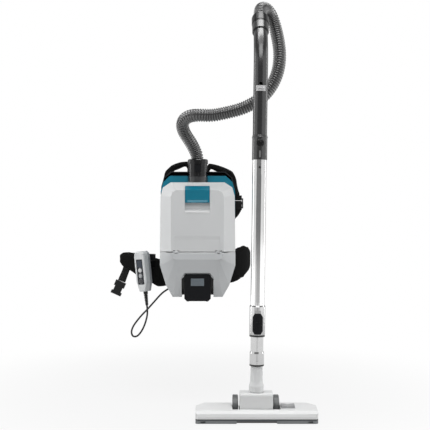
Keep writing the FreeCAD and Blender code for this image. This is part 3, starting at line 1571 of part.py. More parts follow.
def make_sleeve():
    """The telescope lock's housing round the lower end of the outer tube."""
    top = sleeve_bottom + sleeve_height
    shell = turned(
        "sleeve_blank",
        [(inner_radius + running_gap, sleeve_bottom - 1), (sleeve_radius - 0.6, sleeve_bottom - 1),
         (sleeve_radius - 0.6, sleeve_bottom + 5), (sleeve_radius, sleeve_bottom + 6),
         (sleeve_radius, top - 3), (outer_radius + 0.8, top), (outer_radius, top),
         (outer_radius, outer_bottom - 0.3), (inner_radius + running_gap, outer_bottom - 0.3)])
    track = block("sleeve_track", -slide_width / 2 - 0.3, slide_width / 2 + 0.3,
                  sleeve_radius - 1.6, sleeve_radius + 6, slide_bottom - 0.4,
                  slide_bottom + slide_height + slide_travel + 0.4)
    return put_on_wand(without("tube_sleeve", shell, track))


slide_width = size("slide_width", 28)
slide_height = size("slide_height", 56)
slide_bottom = sleeve_bottom + 7
slide_travel = size("slide_travel", 8)


def make_sleeve_button():
    """The oval slide that frees the telescope: it rides in the sleeve's track."""
    tall = slide_bottom + slide_height
    wide = slide_width / 2
    face = prism("slide_face",
                 mirrored([(0, tall), (wide * 0.6, tall), (wide, tall - 9),
                           (wide, slide_bottom + 9), (wide * 0.6, slide_bottom),
                           (0, slide_bottom)]),
                 sleeve_radius - 1.3, sleeve_radius + 8)
    skin = ring("slide_skin", sleeve_radius - 1.2, sleeve_radius + 3, slide_bottom, tall)
    arrow = block("slide_ridge", -6, 6, sleeve_radius + 2, sleeve_radius + 4.2,
                  slide_bottom + 30, slide_bottom + 33)
    body_of_slide = overlap_of("slide_plate", face, skin)
    return put_on_wand(fused("sleeve_button", body_of_slide, arrow))


def make_inner_tube():
    tube = ring("inner_tube_blank", inner_radius - tube_wall, inner_radius, inner_bottom,
                inner_top)
    holes = [
        rod(f"stop_hole_{step}", 2.5, 8, 0, inner_radius - 5, sleeve_bottom + 60 + step * 40,
            "-Y")
        for step in range(7)
    ]
    return put_on_wand(without("inner_tube", tube, holes))


def make_inner_collar():
    """The flared collar at the foot of the inner tube that takes the nozzle's neck."""
    top = inner_bottom + collar_height
    collar = turned(
        "collar_blank",
        [(inner_radius, inner_bottom), (collar_radius, inner_bottom),
         (collar_radius, top - 5), (inner_radius + 0.6, top), (inner_radius, top)])
    hole = rod("collar_hole", 3.2, 10, 0, inner_radius + 0.2, inner_bottom + 17, "-Y")
    return put_on_wand(without("inner_collar", collar, hole))


# ---------------------------------------------------------------- floor nozzle


def make_neck():
    """The grey neck that plugs in the wand and turns in the knuckle's throat."""
    throat_top = knuckle_top + 3
    neck = turned(
        "nozzle_neck",
        [(neck_bore, throat_top - 17), (neck_top_radius + 1.2, throat_top - 17),
         (neck_top_radius + 1.2, throat_top - 3), (neck_top_radius + 4, throat_top),
         (neck_top_radius + 4, throat_top + 14), (neck_top_radius + 1, throat_top + 26),
         (neck_top_radius, inner_bottom - running_gap - 3),
         (neck_top_radius, inner_bottom + 34), (neck_bore, inner_bottom + 34)])
    return put_on_wand(neck)


knuckle_top = size("knuckle_top", 46)


def make_knuckle():
    """The white elbow: a barrel on trunnions at the tilt axis with a tapered throat above."""
    profile = [(-24, knuckle_top), (24, knuckle_top), (25.5, knuckle_top - 6),
               (barrel_radius, 4), (barrel_radius * 0.97, -5), (barrel_radius * 0.75, -15),
               (barrel_radius * 0.4, -19.5), (0, -barrel_radius), (-barrel_radius * 0.4, -19.5),
               (-barrel_radius * 0.75, -15), (-barrel_radius * 0.97, -5), (-barrel_radius, 4),
               (-25.5, knuckle_top - 6)]
    block_of_knuckle = side_prism("knuckle_block", profile, -knuckle_half, knuckle_half)
    softened(block_of_knuckle, 5,
             lambda edge: runs_along(edge, V(1, 0, 0))
             and edge.Vertexes[0].Point.z > knuckle_top.value - 1)
    for_trunnions = rod("trunnions", trunnion_radius, knuckle_half * 2 + cheek_reach * 2,
                        -knuckle_half - cheek_reach, 0, 0, "X")
    throat = neck_top_radius + 1.2 + pin_gap
    shoulder = neck_top_radius + 6
    core = turned("knuckle_core",
                  [(0, -30), (neck_bore, -30), (neck_bore, knuckle_top - 14.3),
                   (throat, knuckle_top - 14.3), (throat, knuckle_top - 0.3),
                   (shoulder, knuckle_top - 0.3), (shoulder, knuckle_top + 30),
                   (0, knuckle_top + 30)])
    core.Placement = FreeCAD.Placement(V(), FreeCAD.Rotation(V(0, 1, 0), lean.value))
    bind(core, "Placement.Rotation.Angle", lean)
    return put_on_wand_foot(without("nozzle_knuckle",
                                    fused("knuckle_blank", block_of_knuckle, for_trunnions),
                                    core))


cheek_reach = size("cheek_reach", 1.6, "of each trunnion into the shell's lug")


def put_on_wand_foot(thing):
    """Pieces of the nozzle stand level at the tilt axis and don't share the wand's lean."""
    return place(thing, wand_x, wand_depth, wand_foot)


def nozzle_plan():
    wide = nozzle_width / 2
    return [(wide - nozzle_corner, -nozzle_rear), (wide, -nozzle_rear + 30),
            (wide, nozzle_front - 6), (wide - 6, nozzle_front), (6 - wide, nozzle_front),
            (-wide, nozzle_front - 6), (-wide, -nozzle_rear + 30),
            (nozzle_corner - wide, -nozzle_rear)]


def inner_plan(wall):
    wide = nozzle_width / 2 - wall
    return [(wide - nozzle_corner, wall - nozzle_rear), (wide, 30 - nozzle_rear),
            (wide, nozzle_front - wall - 5), (-wide, nozzle_front - wall - 5),
            (-wide, 30 - nozzle_rear), (nozzle_corner - wide, wall - nozzle_rear)]


shell_floor = base_height - floor_drop
bay_half = knuckle_half + bay_clear * 2 + wheel_width + cheek_width * 0.4


def make_nozzle_shell():
    """The white top shell: sloping roof, open bay for the elbow and wheels, pedal window."""
    plan = plan_prism("shell_plan", nozzle_plan(), shell_floor, nozzle_rise + 1)
    roof = side_prism(
        "shell_roof",
        [(-nozzle_rear - 1, shell_floor), (-nozzle_rear - 1, nozzle_rise - 3),
         (-nozzle_rear + 5, nozzle_rise), (nozzle_front - 12, nozzle_rise - 6),
         (nozzle_front - 2, nozzle_rise - 13), (nozzle_front + 1, shell_floor + 2),
         (nozzle_front + 1, shell_floor)],
        -nozzle_width / 2, nozzle_width / 2)
    outside = overlap_of("shell_outside", plan, roof)
    hollow_plan = plan_prism("shell_hollow_plan", inner_plan(shell_wall), shell_floor - 1,
                             nozzle_rise)
    hollow_roof = side_prism(
        "shell_hollow_roof",
        [(-nozzle_rear + shell_wall, shell_floor - 1),
         (-nozzle_rear + shell_wall, nozzle_rise - 6),
         (-nozzle_rear + 6, nozzle_rise - shell_wall),
         (nozzle_front - 12, nozzle_rise - 6 - shell_wall),
         (nozzle_front - 7, nozzle_rise - 14), (nozzle_front - 7, shell_floor - 1)],
        -nozzle_width / 2, nozzle_width / 2)
    hollow = overlap_of("shell_hollow", hollow_plan, hollow_roof)
    bay = block("elbow_bay", -bay_half, bay_half, -nozzle_rear - 2, barrel_radius + bay_clear,
                shell_floor - 2, nozzle_rise + 2)
    pedal_window = block("pedal_window", pedal_offset - pedal_width / 2 - 1.3,
                         pedal_offset + pedal_width / 2 + 1.3, -pedal_length / 2 - 0.9,
                         pedal_length / 2 + 0.9, nozzle_rise - 10, nozzle_rise + 4)
    tray = without("shell_tray", outside, hollow)
    bay_end = barrel_radius + bay_clear + shell_wall
    axle_reach = wheel_width + bay_clear + 1.4
    walls = []
    for hand, inner, start in (("left", -bay_half - shell_wall, -bay_half - 1),
                               ("right", bay_half, bay_half - axle_reach)):
        walls.append(side_prism(
            f"bay_wall_{hand}",
            [(-nozzle_rear + 1, shell_floor), (-nozzle_rear + 1, nozzle_rise - 4),
             (-nozzle_rear + 6, nozzle_rise - 1.5), (bay_end, nozzle_rise - 6.5),
             (bay_end, shell_floor)],
            inner, inner + shell_wall))
        walls.append(rod(f"axle_{hand}", axle_radius, axle_reach + 1, start, -wheel_back,
                         wheel_radius - floor_drop, "X"))
    front_wall = block("bay_front_wall", -bay_half - 1, bay_half + 1, bay_end - shell_wall,
                       bay_end, shell_floor, nozzle_rise - 6)
    hinge_posts = [
        block(f"pedal_post_{step}", pedal_offset - 3, pedal_offset + 3, start, start + 3,
              shell_floor, nozzle_rise - below_top)
        for step, start, below_top in ((0, -pedal_length / 2 - 4, 3),
                                       (1, pedal_length / 2 + 1, 5.5))
    ]
    opened = without("shell_opened", tray, bay, pedal_window)
    return put_on_wand_foot(fused("nozzle_shell", opened, front_wall, *walls, *hinge_posts))


def make_nozzle_base():
    """The dark sole: suction slot, side inlets, front recess and lugs for the elbow."""
    slab = plan_prism("base_slab", nozzle_plan(), -floor_drop, shell_floor)
    softened(slab, 2, lambda edge: lies_at(edge, V(0, 0, 1), -floor_drop.value)
             and runs_along(edge, V(1, 0, 0)))
    slot_half = nozzle_width / 2 - 26
    slot = block("suction_slot", -slot_half, slot_half, 22.5, 31, -floor_drop - 1,
                 shell_floor + 1)
    recess = block("front_recess", -54, 54, nozzle_front - 10, nozzle_front + 1,
                   -floor_drop - 1, -floor_drop + 7)
    inlets = [
        block(f"side_inlet_{hand}", start, start + 13, nozzle_front - 6, nozzle_front + 1,
              -floor_drop + 2, -floor_drop + 7)
        for hand, start in (("left", 14 - nozzle_width / 2), ("right", nozzle_width / 2 - 27))
    ]
    brush_half = nozzle_width / 2 - brush_inset + 3
    brush_slots = [
        block(f"brush_slot_{step}", -brush_half, brush_half, start, start + 5, -floor_drop - 1,
              shell_floor + 1)
        for step, start in enumerate((16, 32.5))
    ]
    wheel_slots = [
        block(f"wheel_slot_{hand}", start, start + wheel_width + bay_clear * 2.2,
              -nozzle_rear - 1, 4, -floor_drop - 1, shell_floor + 1)
        for hand, start in (("left", -bay_half), ("right", bay_half - wheel_width
                                                  - bay_clear * 2.2))
    ]
    well = rod("elbow_well", barrel_radius + 2, knuckle_half * 2 + 2, -knuckle_half - 1, 0, 0,
               "X")
    duct = block("base_duct", -12, 12, -10, 26, -floor_drop + 3, shell_floor + 1)
    plate = without("base_plate", slab, slot, recess, well, duct, inlets, brush_slots,
                    wheel_slots)
    lugs = []
    for hand, start in (("left", -knuckle_half - 0.5 - lug_wall), ("right", knuckle_half + 0.5)):
        lugs.append(block(f"elbow_lug_{hand}", start, start + lug_wall, -8, 8,
                          shell_floor - 1, 7))
    holes = rod("lug_holes", trunnion_radius + pin_gap, knuckle_half * 2 + 40,
                -knuckle_half - 20, 0, 0, "X")
    return put_on_wand_foot(without("nozzle_base", fused("base_with_lugs", plate, *lugs), holes))


lug_wall = size("lug_wall", 1.6)
brush_inset = size("brush_inset", 16, "end of a bristle strip from the nozzle's end")


def make_brushes():
    """Two bristle strips joined under the roof, which the pedal lowers through the sole."""
    strips = [
        block(f"brush_strip_{step}", brush_inset - nozzle_width / 2,
              nozzle_width / 2 - brush_inset, start, start + 4, -floor_drop + 1,
              shell_floor - 0.4)
        for step, start in enumerate((16.5, 33))
    ]
    links = []
    for hand, start in (("left", -112), ("right", 100)):
        links.append(block(f"brush_bridge_{hand}", start, start + 12, 16.5, 37,
                           shell_floor + 5.4, shell_floor + 8))
        for step, back in enumerate((16.5, 33)):
            links.append(block(f"brush_post_{hand}_{step}", start, start + 12, back, back + 4,
                               shell_floor - 1, shell_floor + 6))
    return put_on_wand_foot(fused("brush_strips", *links, *strips))


def make_pedal():
    """The rocker in the roof: a plate that tips about a line along the depth."""
    plate = prism("pedal_plate",
                  [(-pedal_width / 2, nozzle_rise - 3.5), (-pedal_width / 2 + 4,
                                                           nozzle_rise - 6),
                   (pedal_width / 2 - 4, nozzle_rise - 6), (pedal_width / 2, nozzle_rise - 3.5),
                   (pedal_width / 2, nozzle_rise + 3), (0, nozzle_rise + 0.5),
                   (-pedal_width / 2, nozzle_rise + 3)],
                  -pedal_length / 2, pedal_length / 2)
    hub = rod("pedal_hub", 2.5, pedal_length + 1.6, 0, -pedal_length / 2 - 0.8,
              nozzle_rise - 7.5, "-Y")
    pedal = fused("pedal", plate, hub)
    return place(pedal, wand_x + pedal_offset, wand_depth, wand_foot)


def make_wheel(label, sign):
    """A grey wheel with a dished rim and hub, turning on the shell's stub axle."""
    wheel = turned(
        label,
        [(axle_radius + pin_gap, 0), (9, 0), (11, 2.5), (wheel_radius - 8, 2.5),
         (wheel_radius - 5, 0), (wheel_radius - 1.5, 0), (wheel_radius, 1.5),
         (wheel_radius, wheel_width - 1.5), (wheel_radius - 1.5, wheel_width),
         (wheel_radius - 5, wheel_width), (wheel_radius - 8, wheel_width - 2.5),
         (11, wheel_width - 2.5), (9, wheel_width), (axle_radius + pin_gap, wheel_width)])
    start = bay_half - bay_clear - wheel_width if sign > 0 else bay_clear - bay_half
    return place(wheel, wand_x + start, wand_depth - wheel_back,
                 wand_foot + wheel_radius - floor_drop, TURNS["X"])


# ---------------------------------------------------------------- the whole machine


def build():
    for thing in (make_lid(), make_hinge_pins(), make_lower_cover(), make_latch(),
                  make_accent_frame(), make_base_housing(), make_screws(),
                  make_harness_plate(), make_inlet_port(), make_bag_holder(), make_dust_bag(),
                  make_filter(), *make_motor(), make_impeller(), make_controller(),
                  make_battery(), make_battery_button(), make_terminal_block(),
                  make_back_pad("back_pad_upper", pad_width, -20, 150),
                  make_back_pad("back_pad_lower", lower_pad_width, -150, -20 - pad_gap),
                  make_shoulder_strap("shoulder_strap_left", STRAP_LEFT),
                  make_shoulder_strap("shoulder_strap_right", STRAP_RIGHT),
                  make_ladder_locks(), make_strap_webbing(),
                  strip("hip_wing_left", WING_LEFT, wing_thickness.value),
                  strip("hip_wing_right", WING_RIGHT, wing_thickness.value),
                  make_belt_webbing(), make_buckle_socket(), make_buckle_plug(),
                  make_remote_front(), make_remote_rear(), *make_remote_keys(),
                  make_remote_clip(), make_strain_relief(), make_remote_cable(),
                  make_cable_gland(), make_hose(), make_hose_cuff(), make_cuff_tab(),
                  make_handle_cuff(), make_grip(), make_air_slider(), make_lock_button(),
                  make_outer_tube(), make_sleeve(), make_sleeve_button(), make_inner_tube(),
                  make_inner_collar(), make_neck(), make_knuckle(), make_nozzle_shell(),
                  make_nozzle_base(), make_brushes(), make_pedal(),
                  make_wheel("wheel_left", -1), make_wheel("wheel_right", 1)):
        node(thing)
    document.recompute()


def check():
    """Stop before anything is written if an object failed or a sub-part isn't sound."""
    for thing in document.Objects:
        if {"Invalid", "Error"} & set(thing.State):
            raise RuntimeError(f"{thing.Label} failed: {thing.State}")
    for label, thing in nodes.items():
        shape = thing.Shape
        if shape.isNull() or not shape.isValid() or not shape.Solids:
            raise RuntimeError(f"{label} has no sound solid")


build()
check()
os.makedirs("parts", exist_ok=True)
for label, thing in nodes.items():
    thing.Shape.exportStep(f"parts/{label}.step")
print(f"{len(nodes)} sub-parts written")
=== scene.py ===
"""A backpack vacuum cleaner: pack, harness, wired remote, ribbed hose, wand and floor nozzle.

Metres, +Z up, and the front of the machine faces -Y.
"""

import math

import bmesh
import bpy
from mathutils import Euler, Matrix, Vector


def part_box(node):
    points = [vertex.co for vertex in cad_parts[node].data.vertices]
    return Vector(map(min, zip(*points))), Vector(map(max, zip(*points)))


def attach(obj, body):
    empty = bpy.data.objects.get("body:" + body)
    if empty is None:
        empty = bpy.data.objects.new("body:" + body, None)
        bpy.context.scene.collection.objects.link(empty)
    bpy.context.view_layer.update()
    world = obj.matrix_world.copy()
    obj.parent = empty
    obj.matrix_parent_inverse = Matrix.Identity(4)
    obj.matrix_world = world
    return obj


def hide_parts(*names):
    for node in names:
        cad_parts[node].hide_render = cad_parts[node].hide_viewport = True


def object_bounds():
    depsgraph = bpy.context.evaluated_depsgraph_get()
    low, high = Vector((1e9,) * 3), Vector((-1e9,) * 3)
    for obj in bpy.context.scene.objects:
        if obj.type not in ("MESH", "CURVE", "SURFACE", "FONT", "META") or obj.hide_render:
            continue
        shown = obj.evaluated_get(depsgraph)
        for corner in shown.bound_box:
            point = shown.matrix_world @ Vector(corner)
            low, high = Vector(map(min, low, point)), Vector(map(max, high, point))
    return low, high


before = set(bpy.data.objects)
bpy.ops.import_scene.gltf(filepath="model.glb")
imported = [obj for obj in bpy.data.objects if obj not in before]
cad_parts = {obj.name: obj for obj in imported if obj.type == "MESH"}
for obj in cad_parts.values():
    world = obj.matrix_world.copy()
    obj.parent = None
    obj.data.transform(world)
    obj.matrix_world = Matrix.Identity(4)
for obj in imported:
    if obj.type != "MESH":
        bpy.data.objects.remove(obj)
scene = bpy.context.scene
cad_box = [list(corner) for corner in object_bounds()]


# ---------------------------------------------------------------- studio
# The machine stands on a pale floor in front of a white wall. Wide soft lamps stand left, right
# and above, and the camera stands level in front of the pack.

class Wire:
    """A socket in a finish's node tree. Sums and products of wires add Math nodes."""

    def __init__(self, tree, socket):
        self.tree = tree
        self.socket = socket

    def node(self, kind, settings, sockets, out=0):
        """Add a node: its settings first, then the values or wires of its sockets."""
        made = self.tree.nodes.new("ShaderNode" + kind)
        for name, value in settings.items():
            setattr(made, name, value)
        for name, value in sockets.items():
            if isinstance(value, Wire):
                self.tree.links.new(value.socket, made.inputs[name])
            else:
                made.inputs[name].default_value = value
        return Wire(self.tree, made.outputs[out]) if made.outputs else None

    def maths(self, operation, first, second=0.0):
        return self.node("Math", {"operation": operation}, {0: first, 1: second})

    def __add__(self, other):
        return self.maths("ADD", self, other)

    __radd__ = __add__

    def __sub__(self, other):
        return self.maths("SUBTRACT", self, other)

    def __rsub__(self, other):
        return self.maths("SUBTRACT", other, self)

    def __mul__(self, other):
        return self.maths("MULTIPLY", self, other)

    __rmul__ = __mul__

    def __abs__(self):
        return self.maths("ABSOLUTE", self)

    def sine(self):
        return self.maths("SINE", self)

    def least(self, other):
        return self.maths("MINIMUM", self, other)

    def most(self, other):
        return self.maths("MAXIMUM", self, other)

    def step(self, low, high):
        """0 at low, 1 at high, and a smooth step between them."""
        return self.node("MapRange", {"interpolation_type": "SMOOTHSTEP"},
                         {"Value": self, "From Min": low, "From Max": high})

    def tint(self, low, high):
        """The colour low where this is 0, and high where it is 1."""
        return self.node("Mix", {"data_type": "RGBA"}, {0: self, 6: low, 7: high}, 2)

    def noise(self, scale, detail=3.0):
        """Noise over the place that this wire holds."""
        return self.node("TexNoise", {}, {"Vector": self, "Scale": scale, "Detail": detail})

    def part(self, axis):
        """One coordinate of the place that this wire holds."""
        return self.node("SeparateXYZ", {}, {0: self}, "XYZ".index(axis))

    def along(self, direction):
        """How far the place that this wire holds lies along a direction."""
        return self.node("VectorMath", {"operation": "DOT_PRODUCT"}, {0: self, 1: direction}, 1)


def blank_finish(name):
    """A new material with an empty tree, and the wire that holds the place on the piece."""
    material = bpy.data.materials.new(name)
    material.use_nodes = True
    material.node_tree.nodes.clear()
    place = material.node_tree.nodes.new("ShaderNodeTexCoord")
    return material, Wire(material.node_tree, place.outputs["Object"])


def grey(level):
    return (level, level, level, 1)


def studio_finish(name, glow, reach_from, reach_to, in_gloss):
    """Matt paint that keeps a faint shadow near the machine and runs into white further away.

    Gloss sees it as bright as in_gloss says, but for a narrow darker lane straight in front,
    where a studio has its camera and no lamp.
    """
    material, place = blank_finish(name)
    paint_level = 0.52
    darkest_in_gloss = 0.6
    lane_middle = 0.13
    lane_spread = 0.17
    machine_front = 0.3
    paint = place.node("BsdfDiffuse", {}, {"Color": grey(paint_level)})
    white = place.node("Emission", {}, {"Color": grey(1), "Strength": 1.0})
    camera_ray = place.node("LightPath", {}, {}, "Is Camera Ray")
    gloss_ray = place.node("LightPath", {}, {}, "Is Glossy Ray")
    glass_ray = place.node("LightPath", {}, {}, "Is Transmission Ray")
    reach = place.node("VectorMath", {"operation": "LENGTH"}, {0: place}, 1)
    share = reach.step(reach_from, reach_to) * (1 - glow) + glow
    in_front = (place.part("Y") + machine_front) * lane_spread
    lane = (abs(place.part("X") - lane_middle) + in_front).step(0.0, 0.09)
    gloss_level = lane * (1 - darkest_in_gloss) + darkest_in_gloss
    seen = (camera_ray.most(glass_ray) + gloss_ray * gloss_level * in_gloss).least(1.0)
    mixed = place.node("MixShader", {}, {0: share * seen, 1: paint, 2: white})
    place.node("OutputMaterial", {}, {"Surface": mixed})
    return material


def stage_sheet(name, corners, material):
    mesh = bpy.data.meshes.new(name)
    mesh.from_pydata(corners, [], [(0, 1, 2, 3)])
    made = bpy.data.objects.new(name, mesh)
    scene.collection.objects.link(made)
    made.data.materials.append(material)
    return made


sole_clearance = 0.0005
floor_level = cad_box[0][2] - sole_clearance
floor_reach = 9
stage_sheet("floor",
            [(x, y, floor_level) for x, y in ((-floor_reach, -floor_reach),
                                              (floor_reach, -floor_reach),
                                              (floor_reach, floor_reach),
                                              (-floor_reach, floor_reach))],
            studio_finish("floor_paint", 0.85, 0.55, 1.2, 1.0))
wall_place = 3
stage_sheet("wall",
            [(x, wall_place, z) for x, z in ((-floor_reach, -4), (floor_reach, -4),
                                             (floor_reach, 8), (-floor_reach, 8))],
            studio_finish("wall_paint", 1.0, 0.0, 0.1, 0.5))

world = bpy.data.worlds.new("room")
world.use_nodes = True
room_light = world.node_tree.nodes["Background"].inputs
room_light["Color"].default_value = grey(1)
room_fill = 0.26
seen_directly = Wire(world.node_tree, None).node("LightPath", {}, {}, "Is Camera Ray")
world.node_tree.links.new((seen_directly * (1 - room_fill) + room_fill).socket,
                          room_light["Strength"])
scene.world = world


def lamp(name, place, aim, width, height, watts):
    light = bpy.data.lights.new(name, "AREA")
    light.shape = "RECTANGLE"
    light.size = width
    light.size_y = height
    light.energy = watts
    made = bpy.data.objects.new(name, light)
    made.location = place
    made.rotation_euler = (Vector(aim) - Vector(place)).to_track_quat("-Z", "Y").to_euler()
    scene.collection.objects.link(made)


middle = (0.06, -0.15, 0.05)
lamp("softbox_left", (-2.09, -0.61, 0.35), middle, 3.0, 2.4, 18)
lamp("softbox_right", (2.07, -1.05, 0.35), middle, 3.2, 2.4, 19)
lamp("softbox_front", (0.1, -2.2, 2.1), middle, 2.2, 1.2, 32)
lamp("softbox_above", (0.1, -0.6, 2.4), middle, 2.4, 1.6, 18)
lamp("strip_left", (-1.76, 0.41, 0.3), middle, 0.28, 1.9, 7)
lamp("strip_right", (1.88, 0.41, 0.3), middle, 0.28, 1.9, 7)
lamp("strip_above", (0.1, -0.55, 2.0), middle, 1.6, 0.35, 14)

camera = bpy.data.objects.new("camera", bpy.data.cameras.new("camera"))
camera.data.sensor_width = 36
camera.data.lens = 67.71
camera.location = (0.0516, -2.55, 0.0642)
camera.rotation_euler = (math.pi / 2, 0, 0)
scene.collection.objects.link(camera)
scene.camera = camera
scene.view_settings.view_transform = "Standard"


# ---------------------------------------------------------------- hose
# A wire-wound hose of black soft vinyl, wound as one continuous rib. Its lower end is clamped in
# the cuff on the pack and its upper end in the cuff that turns in the handle.

hose_route = [
    (0, -0.115, 0.187), (0, -0.115, 0.238), (-0.0105, -0.1216, 0.2634),
    (-0.0238, -0.1365, 0.286), (-0.0391, -0.1508, 0.3072), (-0.0455, -0.1692, 0.3261),
    (-0.0393, -0.1899, 0.3425), (-0.0209, -0.2074, 0.3517), (0.005, -0.2171, 0.3523),
    (0.0437, -0.2147, 0.3511), (0.086, -0.217, 0.3591), (0.126, -0.219, 0.369),
    (0.1601, -0.218, 0.385), (0.1901, -0.214, 0.4051), (0.213, -0.210, 0.433),
    (0.229, -0.206, 0.464), (0.238, -0.203, 0.498), (0.240, -0.200, 0.535),
    (0.2359, -0.1969, 0.5701), (0.2294, -0.1927, 0.6018), (0.2227, -0.1951, 0.6271),
    (0.2117, -0.2065, 0.6468), (0.1987, -0.2245, 0.6563), (0.1865, -0.2452, 0.6537),
    (0.1786, -0.2635, 0.640), (0.178, -0.2956, 0.5941)]
hose_radius = 0.019
hose_ribs = 118
hose_groove = 0.0034
hose_sides = 28
rings_per_rib = 8


def cord_line(name, route):
    """A cord's centre line: one smooth spline with the route's points as its controls."""
    curve = bpy.data.curves.new(name, "CURVE")
    curve.dimensions = "3D"
    spline = curve.splines.new("NURBS")
    spline.points.add(len(route) - 1)
    for point, place in zip(spline.points, route):
        point.co = (*place, 1)
    spline.order_u = 3
    spline.use_endpoint_u = True
    spline.resolution_u = 16
    made = bpy.data.objects.new(name, curve)
    scene.collection.objects.link(made)
    return made


def evaluated_mesh(made):
    """The mesh that an object's modifiers or curve give, on its own."""
    bpy.context.view_layer.update()
    graph = bpy.context.evaluated_depsgraph_get()
    return bpy.data.meshes.new_from_object(made.evaluated_get(graph))


class Recipe:
    """A Geometry Nodes tree with named inputs."""

    def __init__(self, name, sizes):
        self.tree = bpy.data.node_groups.new(name, "GeometryNodeTree")
        self.tree.interface.new_socket("Geometry", in_out="INPUT", socket_type="NodeSocketGeometry")
        self.tree.interface.new_socket("Geometry", in_out="OUTPUT",
                                       socket_type="NodeSocketGeometry")
        self.keys = {}
        for label, kind in sizes.items():
            made = self.tree.interface.new_socket(label, in_out="INPUT",
                                                  socket_type="NodeSocket" + kind)
            self.keys[label] = made.identifier
        self.given = self.tree.nodes.new("NodeGroupInput").outputs

    def step(self, kind, settings, sockets):
        """Add a node with its settings and the values or links of its sockets."""
        made = self.tree.nodes.new(kind)
        for name, value in settings.items():
            if name == "captured":
                made.capture_items.new("FLOAT", value)
            else:
                setattr(made, name, value)
        for name, value in sockets.items():
            if isinstance(value, bpy.types.NodeSocket):
                self.tree.links.new(value, made.inputs[name])
            else:
                made.inputs[name].default_value = value
        return made.outputs

    def maths(self, operation, first, second=0.0):
        return self.step("ShaderNodeMath", {"operation": operation}, {0: first, 1: second})[0]

    def finish(self, geometry, material):
        """End the tree in real geometry with its material."""
        real = self.step("GeometryNodeRealizeInstances", {}, {0: geometry})[0]
        dressed = self.step("GeometryNodeSetMaterial", {}, {0: real, "Material": material})[0]
        self.step("NodeGroupOutput", {}, {0: dressed})

    def run(self, name, base_mesh, values):
        """Run the tree on a base mesh and return the result as a plain mesh object."""
        made = bpy.data.objects.new(name, base_mesh)
        scene.collection.objects.link(made)
        modifier = made.modifiers.new(name, "NODES")
        modifier.node_group = self.tree
        for label, value in values.items():
            modifier[self.keys[label]] = value
        result = evaluated_mesh(made)
        made.modifiers.remove(modifier)
        made.data = result
        result.name = name
        return made


def hose_finish():
    """Glossy black vinyl with dust in the grooves between the ribs."""
    material, place = blank_finish("hose_vinyl")
    groove = place.node("Attribute", {"attribute_name": "groove"}, {}, "Fac")
    dust = place.noise(60, 4).step(0.35, 0.75) * groove
    patches = place.noise(9, 2)
    bump = place.node("Bump", {}, {"Strength": 0.25, "Distance": 0.0004,
                                   "Height": place.noise(700, 2)})
    shader = place.node("BsdfPrincipled", {}, {
        "Base Color": dust.tint((0.006, 0.006, 0.0065, 1), (0.012, 0.012, 0.0125, 1)),
        "Roughness": 0.1 + patches * 0.06 + groove * 0.25, "Normal": bump,
        "Specular IOR Level": 0.95, "Coat Weight": 1.0, "Coat Roughness": 0.06})
    place.node("OutputMaterial", {}, {"Surface": shader})
    return material


def hose_recipe(material):
    """A tube along a line, with a helical groove cut between its ribs."""
    recipe = Recipe("ribbed_hose", {"Ribs": "Int", "Radius": "Float", "Groove depth": "Float",
                                    "Sides": "Int", "Rings per rib": "Int"})
    given = recipe.given
    rings = recipe.maths("MULTIPLY", given["Ribs"], given["Rings per rib"])
    line = recipe.step("GeometryNodeMeshToCurve", {}, {0: given["Geometry"]})[0]
    even = recipe.step("GeometryNodeResampleCurve", {}, {"Curve": line, "Count": rings})[0]
    share = recipe.step("GeometryNodeSplineParameter", {}, {})["Factor"]
    path = recipe.step("GeometryNodeCaptureAttribute", {"captured": "along"},
                       {0: even, 1: share})
    circle = recipe.step("GeometryNodeCurvePrimitiveCircle", {},
                         {"Resolution": given["Sides"], "Radius": given["Radius"]})[0]
    section = recipe.step("GeometryNodeCaptureAttribute", {"captured": "round"},
                          {0: circle, 1: share})
    tube = recipe.step("GeometryNodeCurveToMesh", {},
                       {"Curve": path[0], "Profile Curve": section[0], "Fill Caps": True})[0]
    turns = recipe.maths("ADD", recipe.maths("MULTIPLY", path[1], given["Ribs"]), section[1])
    middle_of_rib = recipe.maths("SUBTRACT", recipe.maths("FRACT", turns), 0.5)
    groove = recipe.step("ShaderNodeMapRange", {"interpolation_type": "SMOOTHSTEP"},
                         {"Value": recipe.maths("ABSOLUTE", middle_of_rib), "From Min": 0.17,
                          "From Max": 0.48})[0]
    outward = recipe.step("GeometryNodeInputNormal", {}, {})[0]
    sunk = recipe.maths("MULTIPLY", groove, recipe.maths("MULTIPLY", given["Groove depth"], -1))
    shift = recipe.step("ShaderNodeVectorMath", {"operation": "SCALE"},
                        {0: outward, "Scale": sunk})[0]
    marked = recipe.step("GeometryNodeStoreNamedAttribute",
                         {"data_type": "FLOAT", "domain": "POINT"},
                         {"Geometry": tube, "Name": "groove", "Value": groove})[0]
    cut = recipe.step("GeometryNodeSetPosition", {}, {"Geometry": marked, "Offset": shift})[0]
    smooth = recipe.step("GeometryNodeSetShadeSmooth", {}, {0: cut})[0]
    recipe.finish(smooth, material)
    return recipe


hose_line = cord_line("hose_line", hose_route)
hose_points = evaluated_mesh(hose_line)
hose = hose_recipe(hose_finish()).run(
    "ribbed_hose", hose_points, {"Ribs": hose_ribs, "Radius": hose_radius,
                                 "Groove depth": hose_groove, "Sides": hose_sides,
                                 "Rings per rib": rings_per_rib})
bpy.data.objects.remove(hose_line)
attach(hose, "hose")
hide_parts("hose")


# ---------------------------------------------------------------- remote's cable
# A round two-core cable in a soft black rubber jacket. It leaves the strain relief under the
# remote, hangs in one loose loop, and goes through the grommet in the housing's lower corner.

